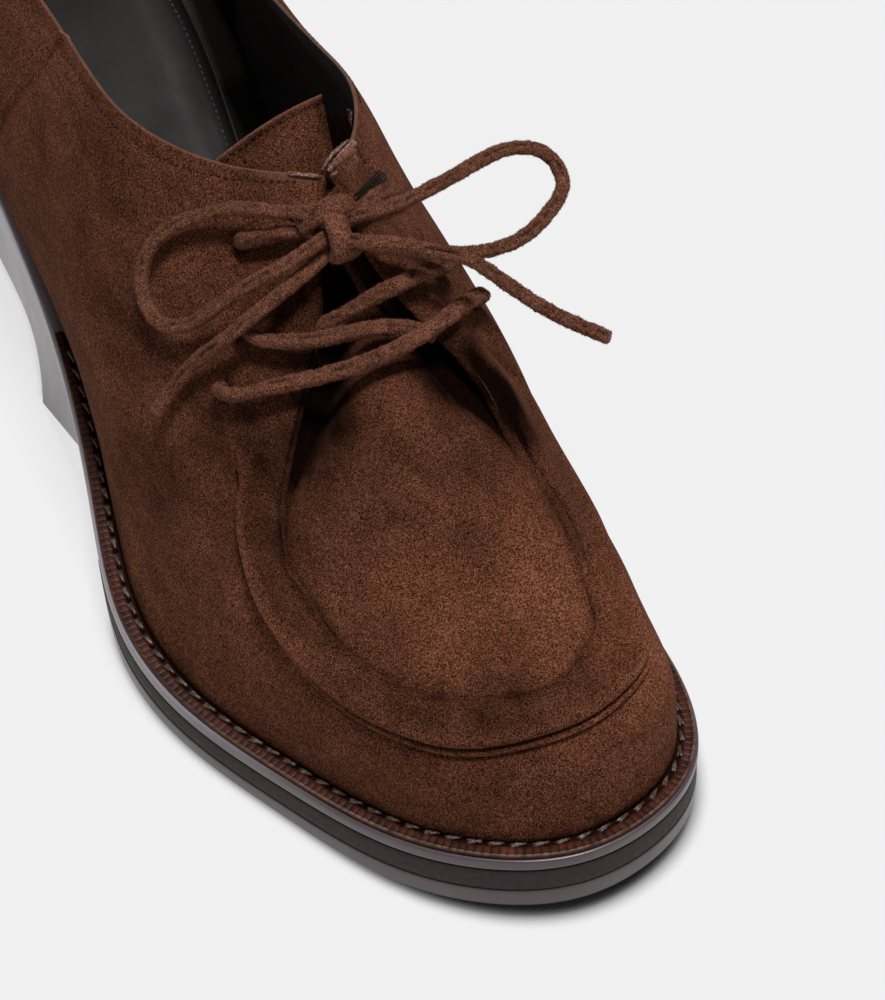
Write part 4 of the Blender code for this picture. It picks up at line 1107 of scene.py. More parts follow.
CREASES = (  # route on the surface, depth, half width; the depth also sets painted shade in a crease and painted light on a ridge
    (((176.5, -24.9, 57.3), (170.5, -24.4, 59.5), (165.0, -22.1, 63.9), (162.0, -19.0, 67.7)), -0.55, 3.0),
    (((171.0, -30.5, 54.0), (164.0, -30.0, 56.5), (157.0, -30.5, 58.0)), -0.7, 4.5),
    (((152.0, -34.0, 50.0), (140.0, -36.5, 48.0), (128.0, -38.0, 47.0)), 0.5, 6.0),
    (((86.0, -27.5, 78.0), (90.0, -31.0, 66.0), (93.0, -33.0, 55.0)), -0.5, 4.0),
    (((176.0, 27.0, 63.0), (166.0, 27.5, 66.5), (158.0, 26.0, 69.0)), -0.5, 3.5),
    (((137.2, 13.6, 89.6), (138.6, 15.3, 85.8), (139.6, 16.4, 83.5), (141.1, 17.3, 81.4)), -0.55, 1.0))

NAP_AND_PAINTED_LIGHT = np.array([  # place, half width, how much lighter or darker: nap, painted shade in the hollows and under the bow, painted light on the toe
    (107.0, -28.5, 76.0, 15.0, -0.20), (158.0, -35.0, 46.0, 12.0, -0.08), (157.0, -9.0, 77.0, 7.0, -0.75),
    (174.0, -24.0, 59.5, 6.0, -0.14), (155.0, -29.5, 58.0, 8.0, 0.22), (137.0, -22.3, 75.6, 6.0, 0.15),
    (237.0, -10.0, 40.0, 8.0, -0.40), (228.0, -22.0, 40.5, 7.0, -0.15), (226.0, 21.0, 48.0, 8.0, 0.42),
    (237.0, 24.5, 37.0, 10.0, 0.40), (220.0, 10.0, 52.0, 11.0, 0.36), (221.0, -10.0, 46.5, 11.0, 0.36),
    (178.0, 16.5, 72.5, 5.5, -0.90), (184.0, 18.0, 69.0, 5.0, -0.85), (189.5, 18.2, 65.5, 4.5, -0.70),
    (195.0, 18.8, 62.3, 4.0, -0.50), (181.0, 9.8, 71.0, 5.0, -0.45), (177.5, -17.5, 60.0, 5.5, -0.28),
    (170.0, -10.0, 67.0, 6.0, -0.25), (84.0, -27.0, 82.0, 8.0, 0.30), (180.5, -10.5, 66.0, 8.0, -0.62),
    (194.0, -4.0, 64.5, 9.0, -0.22), (187.0, -13.5, 61.5, 7.0, -0.28), (200.0, -20.0, 53.5, 8.0, 0.15),
    (196.0, -38.0, 33.0, 12.0, 0.12),
    (186.0, 20.0, 66.8, 4.5, -0.45), (192.5, 22.0, 62.5, 4.5, -0.40), (240.0, 9.0, 41.5, 5.0, -0.30)])


BELOW = np.linspace(0.0, 1.0, 23)[:-1] ** 0.9
ABOVE = 1.0 - (1.0 - np.linspace(0.0, 1.0, 19)[1:]) ** 1.7
LIP_BELOW, LIP_ABOVE, LIP_ROWS = 8.0, 6.4, slice(len(BELOW), len(BELOW) + len(PROFILE))
LIP_CREST = 14
# tone of the lip rows: painted shade under the cut edge and in the groove under the lip, painted highlight on
# the cut strip and on the lip's crest
FOLD_SHADE_AND_HIGHLIGHT = np.interp(np.arange(len(PROFILE)), (0, 3, 4, 5, 6, 8, 10, 11, 13, 14, 16, 18, 19, 20, 21, 23),
                      (0, 0, -.5, -.1, .3, 0, -.6, -1.0, -.8, -.2, .40, .50, .60, .35, .05, 0))
BEND = np.linspace(0.0, np.pi, 11)[1:-1]
INNER_WAY = np.linspace(2.0, 0.0, 30)
HEEL_SEAM = ((4.28, 0.0165, 25.0), (36.33, 0.0080, 24.0))
TOE_SIDE = 20.0
print("profile rows", len(PROFILE), "creases", len(CREASES), "nap and painted light patches", len(NAP_AND_PAINTED_LIGHT))


# %% Fields on the upper
def nap_and_painted_light(points):
    """Sum of the patches at each point: nap, painted shade and painted light."""
    d = np.linalg.norm(points[..., None, :] - NAP_AND_PAINTED_LIGHT[:, :3], axis=-1)
    return (NAP_AND_PAINTED_LIGHT[:, 4] * np.exp(-(d / NAP_AND_PAINTED_LIGHT[:, 3]) ** 2)).sum(axis=-1)


def seam_gap(row, from_top):
    """Signed way from the heel panel's lapped seam in millimetres, positive in front of it."""
    (outer_row, outer_slope, outer_mm), (inner_row, inner_slope, inner_mm) = HEEL_SEAM
    outer = (row - outer_row + outer_slope * from_top) * outer_mm
    inner = (inner_row + inner_slope * from_top - row) * inner_mm
    return np.where(row < TOE_SIDE, outer, inner)


def collar_seam(row):
    """How far below the rim the collar's stitch row runs: closer at both front corners."""
    outer = smoothstep(6.5, 9.0, row) * (row < TOE_SIDE)
    inner = smoothstep(34.5, 32.0, row) * (row > TOE_SIDE)
    return 2.5 - 1.2 * np.maximum(outer, inner)


def crease_field(points):
    out = np.zeros(points.shape[:-1])
    for route, depth, half in CREASES:
        route = np.array(route)
        fine = spline(along(route), route)(np.linspace(0.0, along(route)[-1], 24))
        fade = np.sin(np.linspace(0.12, np.pi - 0.12, 24)) ** 0.6
        d = np.linalg.norm(points[..., None, :] - fine, axis=-1)
        out += depth * (np.exp(-(d / half) ** 2) * fade).max(axis=-1)
    return out


def soft_swell(points):
    """The slight unevenness of leather pulled over a last."""
    return 0.22 * swell(points, 24.0, 5) + 0.09 * swell(points, 8.0, 6)


def outer_rows(low, high, row):
    """Way up the wall and height off it for each row of the outer face, folded where there is a lip."""
    lip = window(*LIP_SPAN, row)
    cut = window(16.3, 18.3, 24.4, 25.4, row)
    way_low = BELOW * (1.0 - LIP_BELOW / low)
    from_lip = PROFILE[:, 3] * (1.0 - lip) + PROFILE[:, 0] * lip
    way_mid = np.where(from_lip < 0, 1.0 + from_lip / low, 1.0 + from_lip / high)
    last = 1.0 + np.minimum(LIP_ABOVE, 0.8 * high) / high
    way_high = last + (2.0 - last) * ABOVE
    h_low = -LIP_STEP * lip * np.interp(way_low, (0.0, 0.2, 0.4, 0.6, 0.8), (0.0, 0.0, 0.1, 0.3, 0.6))
    h_mid = lip * (PROFILE[:, 1] + PROFILE[:, 2] * cut)
    h_high = lip * np.interp(ABOVE, (0.0, 0.5, 1.0), (0.2, 0.05, -0.12))
    return np.hstack([way_low, np.minimum(way_mid, last), way_high]), np.hstack([h_low, h_mid, h_high])


def collar_relief(row, from_top):
    """Lapped seam of the heel panel and the groove of the collar's stitches, as height, and as tone that
    paints shade along the seam's step.
    """
    seam = seam_gap(row, from_top)
    height = 0.5 * smoothstep(0.5, -0.5, seam) - 0.2 * np.exp(-((seam - 0.8) / 0.8) ** 2)
    height = height - 0.34 * np.exp(-((from_top - collar_seam(row)) / 0.6) ** 2)
    return height, -0.3 * np.exp(-(seam / 0.6) ** 2)


def throat_relief(row, from_top, points):
    """Hem, rolled edge and thin inner edge of the band where it meets the plug, as height, and as tone that
    paints shade along the hem's stitches and at the thin inner edge.
    """
    hem = window(24.2, 25.4, 27.6, 28.4, row)
    roll = window(25.5, 27.8, 30.4, 31.2, row)
    thin = np.exp(-(from_top / 1.3) ** 2) * (1.0 - smoothstep(26.0, 28.0, row))
    beads = 0.75 + 0.25 * np.sign(swell(points, 1.1, 14))
    stitched = beads * np.exp(-((from_top - 1.8) / 0.55) ** 2)
    bulge = np.exp(-((from_top - 4.6) / 2.6) ** 2)
    tucked_in = 1.0 - smoothstep(0.0, 2.8, from_top)
    height = hem * (0.3 * smoothstep(2.4, 4.5, from_top) - 0.6 * stitched)
    height = height + roll * (0.9 * bulge - 1.2 * tucked_in - window(7.5, 13.0, 16.0, 22.0, from_top))
    tone = -0.55 * hem * np.exp(-((from_top - 1.8) / 0.5) ** 2) - 0.35 * thin
    return height - 0.35 * thin, tone


def band_nap_and_painted_light(row, way):
    """Tone of the band: its darker nap, painted light on its inner side and on the toe beside it, and the
    painted shade and highlight of the folded lip.
    """
    lip = window(*LIP_SPAN, row)
    on_band = smoothstep(1.0, 1.03, way) * lip
    tone = on_band * (-0.30 - 0.06 * smoothstep(20.0, 13.0, row) + 0.28 * smoothstep(24.0, 26.5, row))
    tone += 0.22 * window(21.5, 24.0, 26.0, 29.0, row) * (1.0 - on_band)
    crest = np.arange(len(PROFILE)) > LIP_CREST
    tone[:, LIP_ROWS] += lip * FOLD_SHADE_AND_HIGHLIGHT * np.where(crest, 1.0 - 0.7 * smoothstep(15.5, 19.0, row), 1.0)
    return tone


print("relief of the collar and of the throat ready")


# %% Columns of the upper
LINED, COUNTER = 1, 2


def upper_columns(turn, on_throat):
    """Outer face, rim and inner face of one run of columns, with marks and finish per point."""
    row = row_of(turn)[:, None]
    low, high = (v[:, None] for v in lengths(turn, on_throat))
    lip, toe = window(*LIP_SPAN, row), window(*TOE_SPAN, row)

    # outer face
    way, height = outer_rows(low, high, row)
    from_top = (2.0 - way) * high
    p, normal, up = wall_with_normals(turn, way, on_throat)
    creases, uneven_and_shaded = crease_field(p), soft_swell(p)
    d_hole = np.linalg.norm(p[..., None, :] - HOLES, axis=-1).min(axis=-1)
    height = height - 0.35 * (1.0 - smoothstep(0.0, 0.05, way)) ** 2
    height = height + creases + uneven_and_shaded - (1.0 - smoothstep(0.6, 2.8, d_hole))
    more, tone = throat_relief(row, from_top, p) if on_throat else collar_relief(row, from_top)
    outer = p + normal * (height + more)[..., None]
    # tone: patches of nap and painted light, painted shade in the creases, painted shading of the swells and
    # painted shade along the foot of the wall
    tone = tone + nap_and_painted_light(p) + 0.5 * creases + 0.9 * uneven_and_shaded - 0.5 * (1.0 - smoothstep(0.0, 0.12, way))
    tone = tone + band_nap_and_painted_light(row, way)

    # rim
    rim_thick, corner_thick = (1.3, 0.0) if on_throat else (0.8, 0.7)
    corner = np.maximum(smoothstep(7.9, 8.4, row) * (row < TOE_SIDE),
                        (1.0 - smoothstep(32.7, 33.4, row)) * (row > TOE_SIDE))
    thick = rim_thick + (TOE_RIM - rim_thick) * toe + corner_thick * corner
    crown = outer[:, -1:] - normal[:, -1:] * (0.5 * thick * (1.0 - np.cos(BEND)))[..., None]
    crown = crown + up[:, -1:] * (0.45 * np.sin(BEND))[None, :, None]

    # inner face
    lining, inward, _ = wall_with_normals(turn, INNER_WAY[None], on_throat)
    depth = WALL + (TOE_RIM - WALL) * smoothstep(1.2, 2.0, INNER_WAY) * toe
    depth = depth - (WALL - rim_thick) * smoothstep(1.7, 2.0, INNER_WAY) * (1.0 - toe)
    depth = depth + LIP_STEP * lip * np.interp(INNER_WAY, (0.2, 0.4, 0.6, 0.8, 0.95, 1.06, 1.2, 1.4),
                                               (0.0, 0.1, 0.3, 0.55, 0.7, 0.4, 0.1, 0.0))
    inner = lining - inward * depth[..., None]

    # marks and finishes
    points = np.concatenate([outer, crown, inner], 1)
    rim_start, rim_end = outer.shape[1], outer.shape[1] + crown.shape[1]
    marks = {label: np.zeros(points.shape[:2]) for label in ("tone", "pale_edge_and_reflection", "hole")}
    looks = np.zeros(points.shape[:2], int)
    marks["tone"][:, :rim_start] = tone
    marks["tone"][:, rim_start:rim_end] = nap_and_painted_light(crown)
    # hole: painted shade inside the punched lace holes
    marks["hole"][:, :rim_start] = 1.0 - smoothstep(1.3, 2.2, d_hole)
    if on_throat:
        looks[:, rim_end + 12:] = LINED
        # painted shade on the rim of the band's inner edge
        marks["tone"][:, rim_start:rim_end] -= 0.45 * (1.0 - smoothstep(26.0, 28.0, row))
        strength = 0.6 * np.maximum(1.0 - smoothstep(9.0, 9.25, row), smoothstep(31.75, 32.0, row))
        shape = np.sin(BEND) ** 0.5
    else:
        looks[:, rim_end - 5:] = LINED
        strength = 0.55 + 0.3 * corner
        shape = np.exp(-((BEND - 1.0) / 0.8) ** 2)
        worn = corner * (1.0 - smoothstep(0.3, 2.2, from_top)) * (0.7 + 0.5 * swell(outer, 1.6, 9))
        marks["pale_edge_and_reflection"][:, :rim_start] = np.clip(0.75 * worn, 0.0, 1.0)
        # the facing's own lining reaches back to a slanting edge inside the inner side
        ahead = (inner[..., 0] - 134.5 + 1.3 * (88.0 - inner[..., 2])) * ((row > 31.9) & (row < 36.0))
        looks[:, rim_end:][ahead > 0.0] = 0
        marks["pale_edge_and_reflection"][:, rim_end:] = 0.7 * np.exp(-((ahead - 0.8) / 0.7) ** 2) * (ahead != 0.0)
        # painted light: the lining suede is lightened where it lies in the shade of the throat
        marks["tone"][:, rim_end:] += 0.7 * (ahead > 1.4)
        beside_heel = ((row > 37.35) & (row < 40.0))[:, 0]
        looks[beside_heel, rim_end + 9:] = COUNTER
    marks["pale_edge_and_reflection"][:, rim_start:rim_end] = strength * shape * (0.8 + 0.35 * swell(crown, 1.5, 8))
    return points, marks, looks


# %% Upper mesh
runs = [upper_columns(np.linspace(MEDIAL - 1.0, LATERAL, 441)[:-1], False),
        upper_columns(np.linspace(LATERAL, MEDIAL, 351)[:-1], True)]
points = np.concatenate([r[0] for r in runs])
marks = {k: np.concatenate([r[1][k] for r in runs]) for k in runs[0][1]}
looks = np.concatenate([r[2] for r in runs])
faces = grid_faces(*points.shape[:2], True, True)
upper = skin("upper_suede", points.reshape(-1, 3), faces, [SUEDE, LINING_PAINTED_LIGHTER, COUNTER_LINING],
             looks.ravel(), marks)
wear(upper, "suede", "upper")

# %% [markdown]
# Plug and tongue are one sheet: the plug fills the ring of the band and runs up under the throat as the
# tongue. Rungs go from side to side. Each is tucked under the band, leaves it in the band's own
# direction and arches over the foot. Cloth draped over the foot would be less sure to meet the band all
# around, so the ridge over the instep and the hollows beside it are given as routes with a height along
# them.

# %% Rungs of the plug and tongue
PLUG_THICK, TAIL_SEAM, TAIL_SPACING = 2.0, 1.5, 9.5
PLUG = (  # outer row, inner row, overlap under the band, fullness of the arch
    (21.85, 22.15, 3.0, 0.30), (21.4, 22.5, 3.0, 0.32), (20.7, 23.0, 3.0, 0.34), (19.8, 23.6, 3.2, 0.36),
    (18.6, 24.3, 3.4, 0.38),
    (17.2, 25.0, 3.6, 0.40), (15.8, 25.8, 4.0, 0.42), (14.6, 26.6, 4.4, 0.42), (13.6, 27.4, 5.0, 0.40),
    (12.7, 28.3, 6.0, 0.38),
    (11.8, 29.2, 7.5, 0.36), (11.0, 30.1, 9.0, 0.34), (10.2, 31.0, 9.5, 0.33), (9.35, 31.8, 9.5, 0.33))
TAIL = (  # outer row, overlap, inner edge x y z, crown
    (8.7, 7.5, 143.0, 9.3, 82.0, 1.9), (8.0, 4.5, 135.5, 10.3, 88.5, 2.2),
    (7.2, 1.0, 127.3, 12.2, 95.0, 1.5))
PLUG_RELIEF = (  # route points with the height at each, half width; the heights also set painted shade and painted light
    (((171.3, 2.6, 73.8, 0.3), (177.7, 0.6, 70.1, 1.0), (185.2, -0.5, 67.0, 1.3),
    (192.7, -0.7, 64.7, 1.1), (203.0, -1.1, 61.0, 0.2)), 5.5),
    (((166.0, 11.0, 79.0, -3.0), (171.5, 12.4, 76.4, -5.0), (175.8, 13.0, 73.6, -6.4),
    (180.0, 13.8, 70.6, -6.2), (185.0, 14.2, 68.0, -4.4),
      (190.0, 14.4, 65.6, -2.2), (196.0, 14.6, 62.6, -0.2)), 7.5),
    (((153.0, 2.0, 82.6, -3.5), (159.6, -2.3, 76.0, -4.4), (166.0, -6.5, 70.6, -5.4),
    (172.3, -12.4, 64.7, -5.2), (177.0, -16.8, 60.4, -3.4),
      (182.0, -20.6, 56.4, -1.6), (188.0, -23.6, 53.5, -0.2)), 5.0),
    (((158.0, 5.0, 81.5, -1.8), (164.0, 4.2, 78.4, -2.2), (170.0, 3.0, 74.6, -1.2)), 7.0))


def tucked(row, overlap, on_throat, lift=0.0):
    """Three points under the upper's wall, from the tucked edge to the wall's own edge."""
    turn = np.array([turn_of(row)])
    high = lengths(turn, on_throat)[1][0]
    ways = 2.0 - np.array([1.0, 0.5, 0.0]) * overlap / high
    p, n, _ = wall_with_normals(turn, ways[None], on_throat)
    hem = window(24.0, 25.0, 27.0, 28.5, row) + smoothstep(12.8, 14.2, row) * (row < TOE_SIDE)
    thin = max(window(*TOE_SPAN, row), hem)
    depth = WALL + (TOE_RIM - WALL) * smoothstep(1.2, 2.0, ways) * thin + PIECE_GAP + 0.25 - lift * thin
    return p[0] - n[0] * depth[:, None]


def plug_rows():
    """Rungs from the toe to the free edge of the tongue."""
    rungs = []
    for outer_row, inner_row, overlap, full in PLUG:
        a, b = tucked(outer_row, overlap, True, 0.9), tucked(inner_row, overlap, True, 0.9)
        pull = np.linalg.norm(b[2] - a[2]) * full * 2.2
        da, db = unit(a[2] - a[1]) * pull, unit(b[1] - b[2]) * pull
        span = [hermite(a[2], b[2], da, db, t) for t in np.linspace(0.0, 1.0, 49)[1:-1]]
        rungs.append(np.vstack([a, span, b[::-1]]))
    w = np.linspace(0.0, 1.0, len(rungs[0]))
    outer_row, inner_row, overlap, _ = PLUG[0]
    a, b = (tucked(row, overlap + 1.5, True)[0] for row in (outer_row, inner_row))
    rungs.insert(0, a + (b - a) * w[:, None])
    for outer_row, overlap, x, y, z, rise in TAIL:
        a, b = tucked(outer_row, overlap, False)[0], np.array([x, y, z])
        arc = a + (b - a) * w[:, None]
        arc[:, 2] += rise * 4.0 * w * (1.0 - w)
        rungs.append(arc)
    return np.array(rungs)


rungs = plug_rows()
fine_keys = np.concatenate([np.linspace(0, 14, 141), np.linspace(14, 17, 73)[1:]])
plug = spline(np.arange(float(len(rungs))), rungs.reshape(len(rungs), -1))(fine_keys)
plug = plug.reshape(len(fine_keys), -1, 3)
plug_normal = unit(np.cross(np.gradient(plug, axis=1), np.gradient(plug, axis=0)))
plug_normal *= np.sign(plug_normal[len(plug) // 2, plug.shape[1] // 2, 2])
print("rungs", len(rungs), "fine rows", len(plug))

# %% Relief, nap, painted shade and painted light of the plug
columns = np.arange(plug.shape[1])
from_side = np.minimum(columns, columns[::-1])
tuck = np.interp(from_side, (0, 1, 2, 3), (0.0, 0.4, 0.8, 1.0))
crease = np.interp(from_side, (0, 2, 3, 4, 6), (1.0, 1.0, 0.9, 0.4, 0.0))
relief = 0.25 * swell(plug, 16.0, 12) + 0.1 * swell(plug, 6.0, 13)
# shade: nap and painted light from the patches, and painted shading that is lighter on the swells
shade = nap_and_painted_light(plug) + 0.8 * relief
for route, half in PLUG_RELIEF:
    route = np.array(route)
    keys = along(route[:, :3])
    fine = spline(keys, route)(np.linspace(0.0, keys[-1], 32))
    d = np.linalg.norm(plug[..., None, :] - fine[:, :3], axis=-1)
    bulge = fine[:, 3] * np.exp(-(d / half) ** 2)
    bulge = np.take_along_axis(bulge, np.abs(bulge).argmax(axis=-1)[..., None], -1)[..., 0]
    relief += bulge * tuck
    # painted shade in the hollows and painted highlight on the ridge, from the same heights
    shade += np.where(bulge < 0.0, 0.16, 0.12) * bulge
relief -= 0.25 * crease * tuck
# painted shade along the edge tucked under the band
shade -= 0.40 * crease
across = np.linspace(-1.0, 1.0, plug.shape[1])[None]
# lighter towards the toe and the inner side
forward = smoothstep(9.5, 4.0, fine_keys)[:, None]
shade += forward * (0.10 + 0.26 * smoothstep(-0.3, 0.8, across)) - 0.10
# painted shade on the tongue under the lace bars
shade -= 0.25 * smoothstep(13.0, 14.5, fine_keys)[:, None]
end_gap = (17.0 - fine_keys[:, None]) * TAIL_SPACING
on_tail = fine_keys[:, None] > 15
relief -= 0.3 * np.exp(-((end_gap - TAIL_SEAM) / 0.4) ** 2) * on_tail
# painted shade in the groove of the tongue's edge seam
shade -= 0.4 * np.exp(-((end_gap - TAIL_SEAM) / 0.45) ** 2) * on_tail

# %% Plug and tongue mesh
front = plug + plug_normal * relief[..., None]
behind = plug + plug_normal * (np.minimum(relief, 0.0) - PLUG_THICK)[..., None]
edge_raw = np.zeros(front.shape[:2])
edge_raw[-1], edge_raw[-2] = 0.6, 0.2
verts, faces = two_faced(front, behind)
tongue = skin("plug_and_tongue", verts, faces, SUEDE, marks={
    "tone": np.stack([shade, np.zeros_like(shade)]), "pale_edge_and_reflection": np.stack([edge_raw, edge_raw])})
wear(tongue, "suede", "tongue")

# %% [markdown]
# Facing tab: the top of the inner facing is a separate strap, folded over the collar and held by a
# thread bundle at its foot. A box would look stuck on; a small patch between four rows of points can be
# domed in the middle, rounded at its sides and rubbed pale along the fold. The worn edges at the top of
# both facings and a few loose thread ends are swept like the lace, only much thinner.

# %% Facing tab
TAB = np.array([[(142.0, 6.6, 91.0), (139.9, 9.0, 90.6), (138.4, 11.4, 90.2), (137.3, 13.8, 89.8)],
                [(144.6, 6.9, 90.2), (143.2, 9.0, 89.0), (140.9, 12.2, 88.0), (138.7, 15.5, 85.6)],
                [(147.6, 7.0, 89.2), (146.3, 8.6, 88.3), (142.9, 12.7, 85.6), (140.3, 16.6, 83.1)],
                [(150.4, 7.2, 88.2), (149.6, 8.4, 87.6), (145.6, 12.8, 84.8), (141.0, 17.8, 81.2)]])
TAB_FINE = 45
fine = np.linspace(0.0, 3.0, TAB_FINE)
patch = spline(np.arange(4.0), TAB.reshape(4, -1))(fine).reshape(TAB_FINE, 4, 3)
patch = np.stack([spline(np.arange(4.0), row)(fine) for row in patch])
patch_up = unit(np.cross(np.gradient(patch, axis=1), np.gradient(patch, axis=0)))
patch_up *= np.sign(patch_up[TAB_FINE // 2, TAB_FINE // 2, 2])
s, t = np.meshgrid(np.linspace(0.0, 1.0, TAB_FINE), np.linspace(0.0, 1.0, TAB_FINE), indexing="ij")
dome = smoothstep(0.0, 0.10, t) * smoothstep(1.0, 0.90, t) * smoothstep(1.0, 0.93, s)
fold = np.exp(-((s - 0.08) / 0.10) ** 2)
height = -0.5 + 1.2 * dome + 0.5 * fold * dome + 0.25 * swell(patch, 4.0, 71) * dome
pale_edge_and_reflection = (0.55 + 0.5 * swell(patch, 0.7, 72)) * (1.0 - smoothstep(0.04, 0.16, s))
pale_edge_and_reflection = pale_edge_and_reflection + smoothstep(0.35, 0.8, swell(patch, 0.6, 74)) * np.exp(-((s - 0.20) / 0.10) ** 2)
pale_edge_and_reflection = np.clip(pale_edge_and_reflection, 0.0, 0.9)
# painted shade towards the throat edge and towards the tab's foot, with random tone
tone = -0.30 * smoothstep(0.35, 0.0, t) - 0.2 * smoothstep(0.5, 1.0, s) + 0.3 * swell(patch, 3.0, 73)
top = patch + patch_up * height[..., None]
verts, faces = two_faced(top, patch - 1.4 * patch_up)
tab = skin("facing_tab", verts, faces, SUEDE,
           marks={"tone": np.stack([tone, tone]), "pale_edge_and_reflection": np.stack([pale_edge_and_reflection, pale_edge_and_reflection])})
wear(tab, "suede")

# %% Worn edges and thread ends
WORN_EDGES = (  # route along the top of a facing, width, height
    (((142.6, 6.2, 90.7), (140.6, 8.8, 90.8), (138.9, 11.4, 90.6), (137.3, 14.0, 90.1)), 1.0, 0.8),
    (((141.0, 5.6, 90.0), (139.2, 8.0, 90.2), (137.5, 10.6, 90.1), (136.2, 13.2, 89.9)), 0.6, 0.8),
    (((139.3, -0.5, 90.1), (140.3, 1.0, 90.2), (141.4, 2.6, 90.1), (142.5, 4.3, 90.0)), 0.8, 0.6))
THREAD_ENDS = (
    ((129.8, 16.9, 87.6), (129.5, 16.6, 89.4), (129.9, 16.9, 91.0)),
    ((130.6, 16.6, 87.4), (130.7, 16.5, 89.0), (130.4, 16.8, 90.8)),
    ((128.9, 17.0, 88.0), (128.6, 17.1, 89.4), (128.9, 16.8, 90.4)))
strips = [dict(route=route, width=width, thick=thick, rough=0.25) for route, width, thick in WORN_EDGES]
strips += [dict(route=route, width=0.3, thick=0.3, rough=0.02) for route in THREAD_ENDS]
for seed, strip in enumerate(strips):
    strip.update(seed=90 + seed, step=0.25, around=12, facing=(0.1, 0.0, 1.0), cut=0.0)
verts, faces, tone = swept(strips)
worn = skin("worn_edges", verts, faces, WORN_LEATHER, marks={"tone": tone})
wear(worn, "suede")

# %% [markdown]
# Seams of the upper: a row of fine stitches below the collar, two rows beside the heel panel's lapped
# seam, one along the facing tab and one along the tongue's free edge. Each row is a line of points on
# the surface with its normals, handed to the same tree as before, once for the stitches and once for
# the near-black grains between them, painted shade inside the needle holes.

# %% Stitch rows of the upper
def wall_line(turns, from_top, lift):
    """Line on the quarter's outer face, so far below the collar."""
    way = (2.0 - from_top / lengths(turns, False)[1])[:, None]
    p, n, _ = wall_with_normals(turns, way, False)
    h = (crease_field(p) + soft_swell(p))[:, 0]
    return p[:, 0] + n[:, 0] * (h + lift)[:, None], n[:, 0]


def later(line, start):
    """The same row begun a little further along."""
    keep = along(line[0]) >= start
    return line[0][keep], line[1][keep]


SEAM_PITCH = 1.45
collar_turns = np.linspace(MEDIAL - 1.0 + 0.004, LATERAL - 0.004, 900)
collar_rows = row_of(collar_turns)
collar_turns = collar_turns[(collar_rows > 34.0) | (collar_rows < TOE_SIDE)]
seam_rows = [wall_line(collar_turns, collar_seam(row_of(collar_turns)), -0.02)]
depths = np.linspace(4.0, 42.0, 80)
(outer_row, outer_slope, outer_mm), (inner_row, inner_slope, inner_mm) = HEEL_SEAM
for shift in (1.1, 3.3):
    outer_turn = turn_of(outer_row - outer_slope * depths - shift / outer_mm)
    inner_turn = turn_of(inner_row + inner_slope * depths + shift / inner_mm)
    seam_rows += [wall_line(outer_turn, depths, 0.44), wall_line(inner_turn, depths, 0.44)]
seam_rows.append((top[2:-4, 39], patch_up[2:-4, 39]))
tail_row = np.argmin(np.abs(end_gap[:, 0] - TAIL_SEAM))
tail_normal = plug_normal[tail_row, 4:-4]
seam_rows.append((front[tail_row, 4:-4] + 0.14 * tail_normal, tail_normal))
seams = grains("seam_stitches", seam_rows, SEAM_THREAD, SEAM_PITCH, 0.85, 0.36, 0.30, waver=0.15, seed=21)
wear(seams, "suede")
needle_rows = [later(line, 0.5 * SEAM_PITCH) for line in seam_rows]
needle_shade = grains("needle_hole_shades", needle_rows, NEEDLE_HOLE_SHADE, SEAM_PITCH, 0.55, 0.42, 0.25, waver=0.3, seed=22)
wear(needle_shade, "suede")

# %% [markdown]
# Bar tacks: a bundle of black thread locks the top of each facing. Six thin strands side by side, each
# a little out of line, look like thread where one thick bar would look like wire.

# %% Bar tacks
BAR_TACKS = (
    ((149.9, 8.8, 88.2), (146.4, 12.6, 86.4), (143.4, 15.8, 84.4), (140.3, 18.8, 82.2)),
    ((145.2, -3.2, 85.4), (146.4, -2.2, 85.8), (147.6, -1.2, 86.0), (149.0, 0.2, 86.4)))
STRANDS, STRAND_THICK = 6, 0.36
STRAND_STEP = np.array([0.36, 0.22, -0.28])
strands = []
for number, tack in enumerate(BAR_TACKS):
    for k in range(STRANDS):
        waver = 0.2 * np.sin(np.arange(4)[:, None] * 2.1 + k)
        route = np.array(tack) + STRAND_STEP * (k - 2.5) + waver
        strands.append(dict(route=route, width=STRAND_THICK, thick=STRAND_THICK, seed=70 + 10 * number + k,
                            step=0.4, around=8, rough=0.03, cut=0.0))
verts, faces, _ = swept(strands)
tacks = skin("bar_tacks", verts, faces, TACK_THREAD)
wear(tacks, "suede")

# %% [markdown]
# Loose fibres: the lace's suede frays, and single fibres stand off against the light. A second tree
# scatters thin pointed blades over a surface, leans each one at random and gives it a length between
# two limits. They are far too small to model one by one, and a hair system would not survive an export.

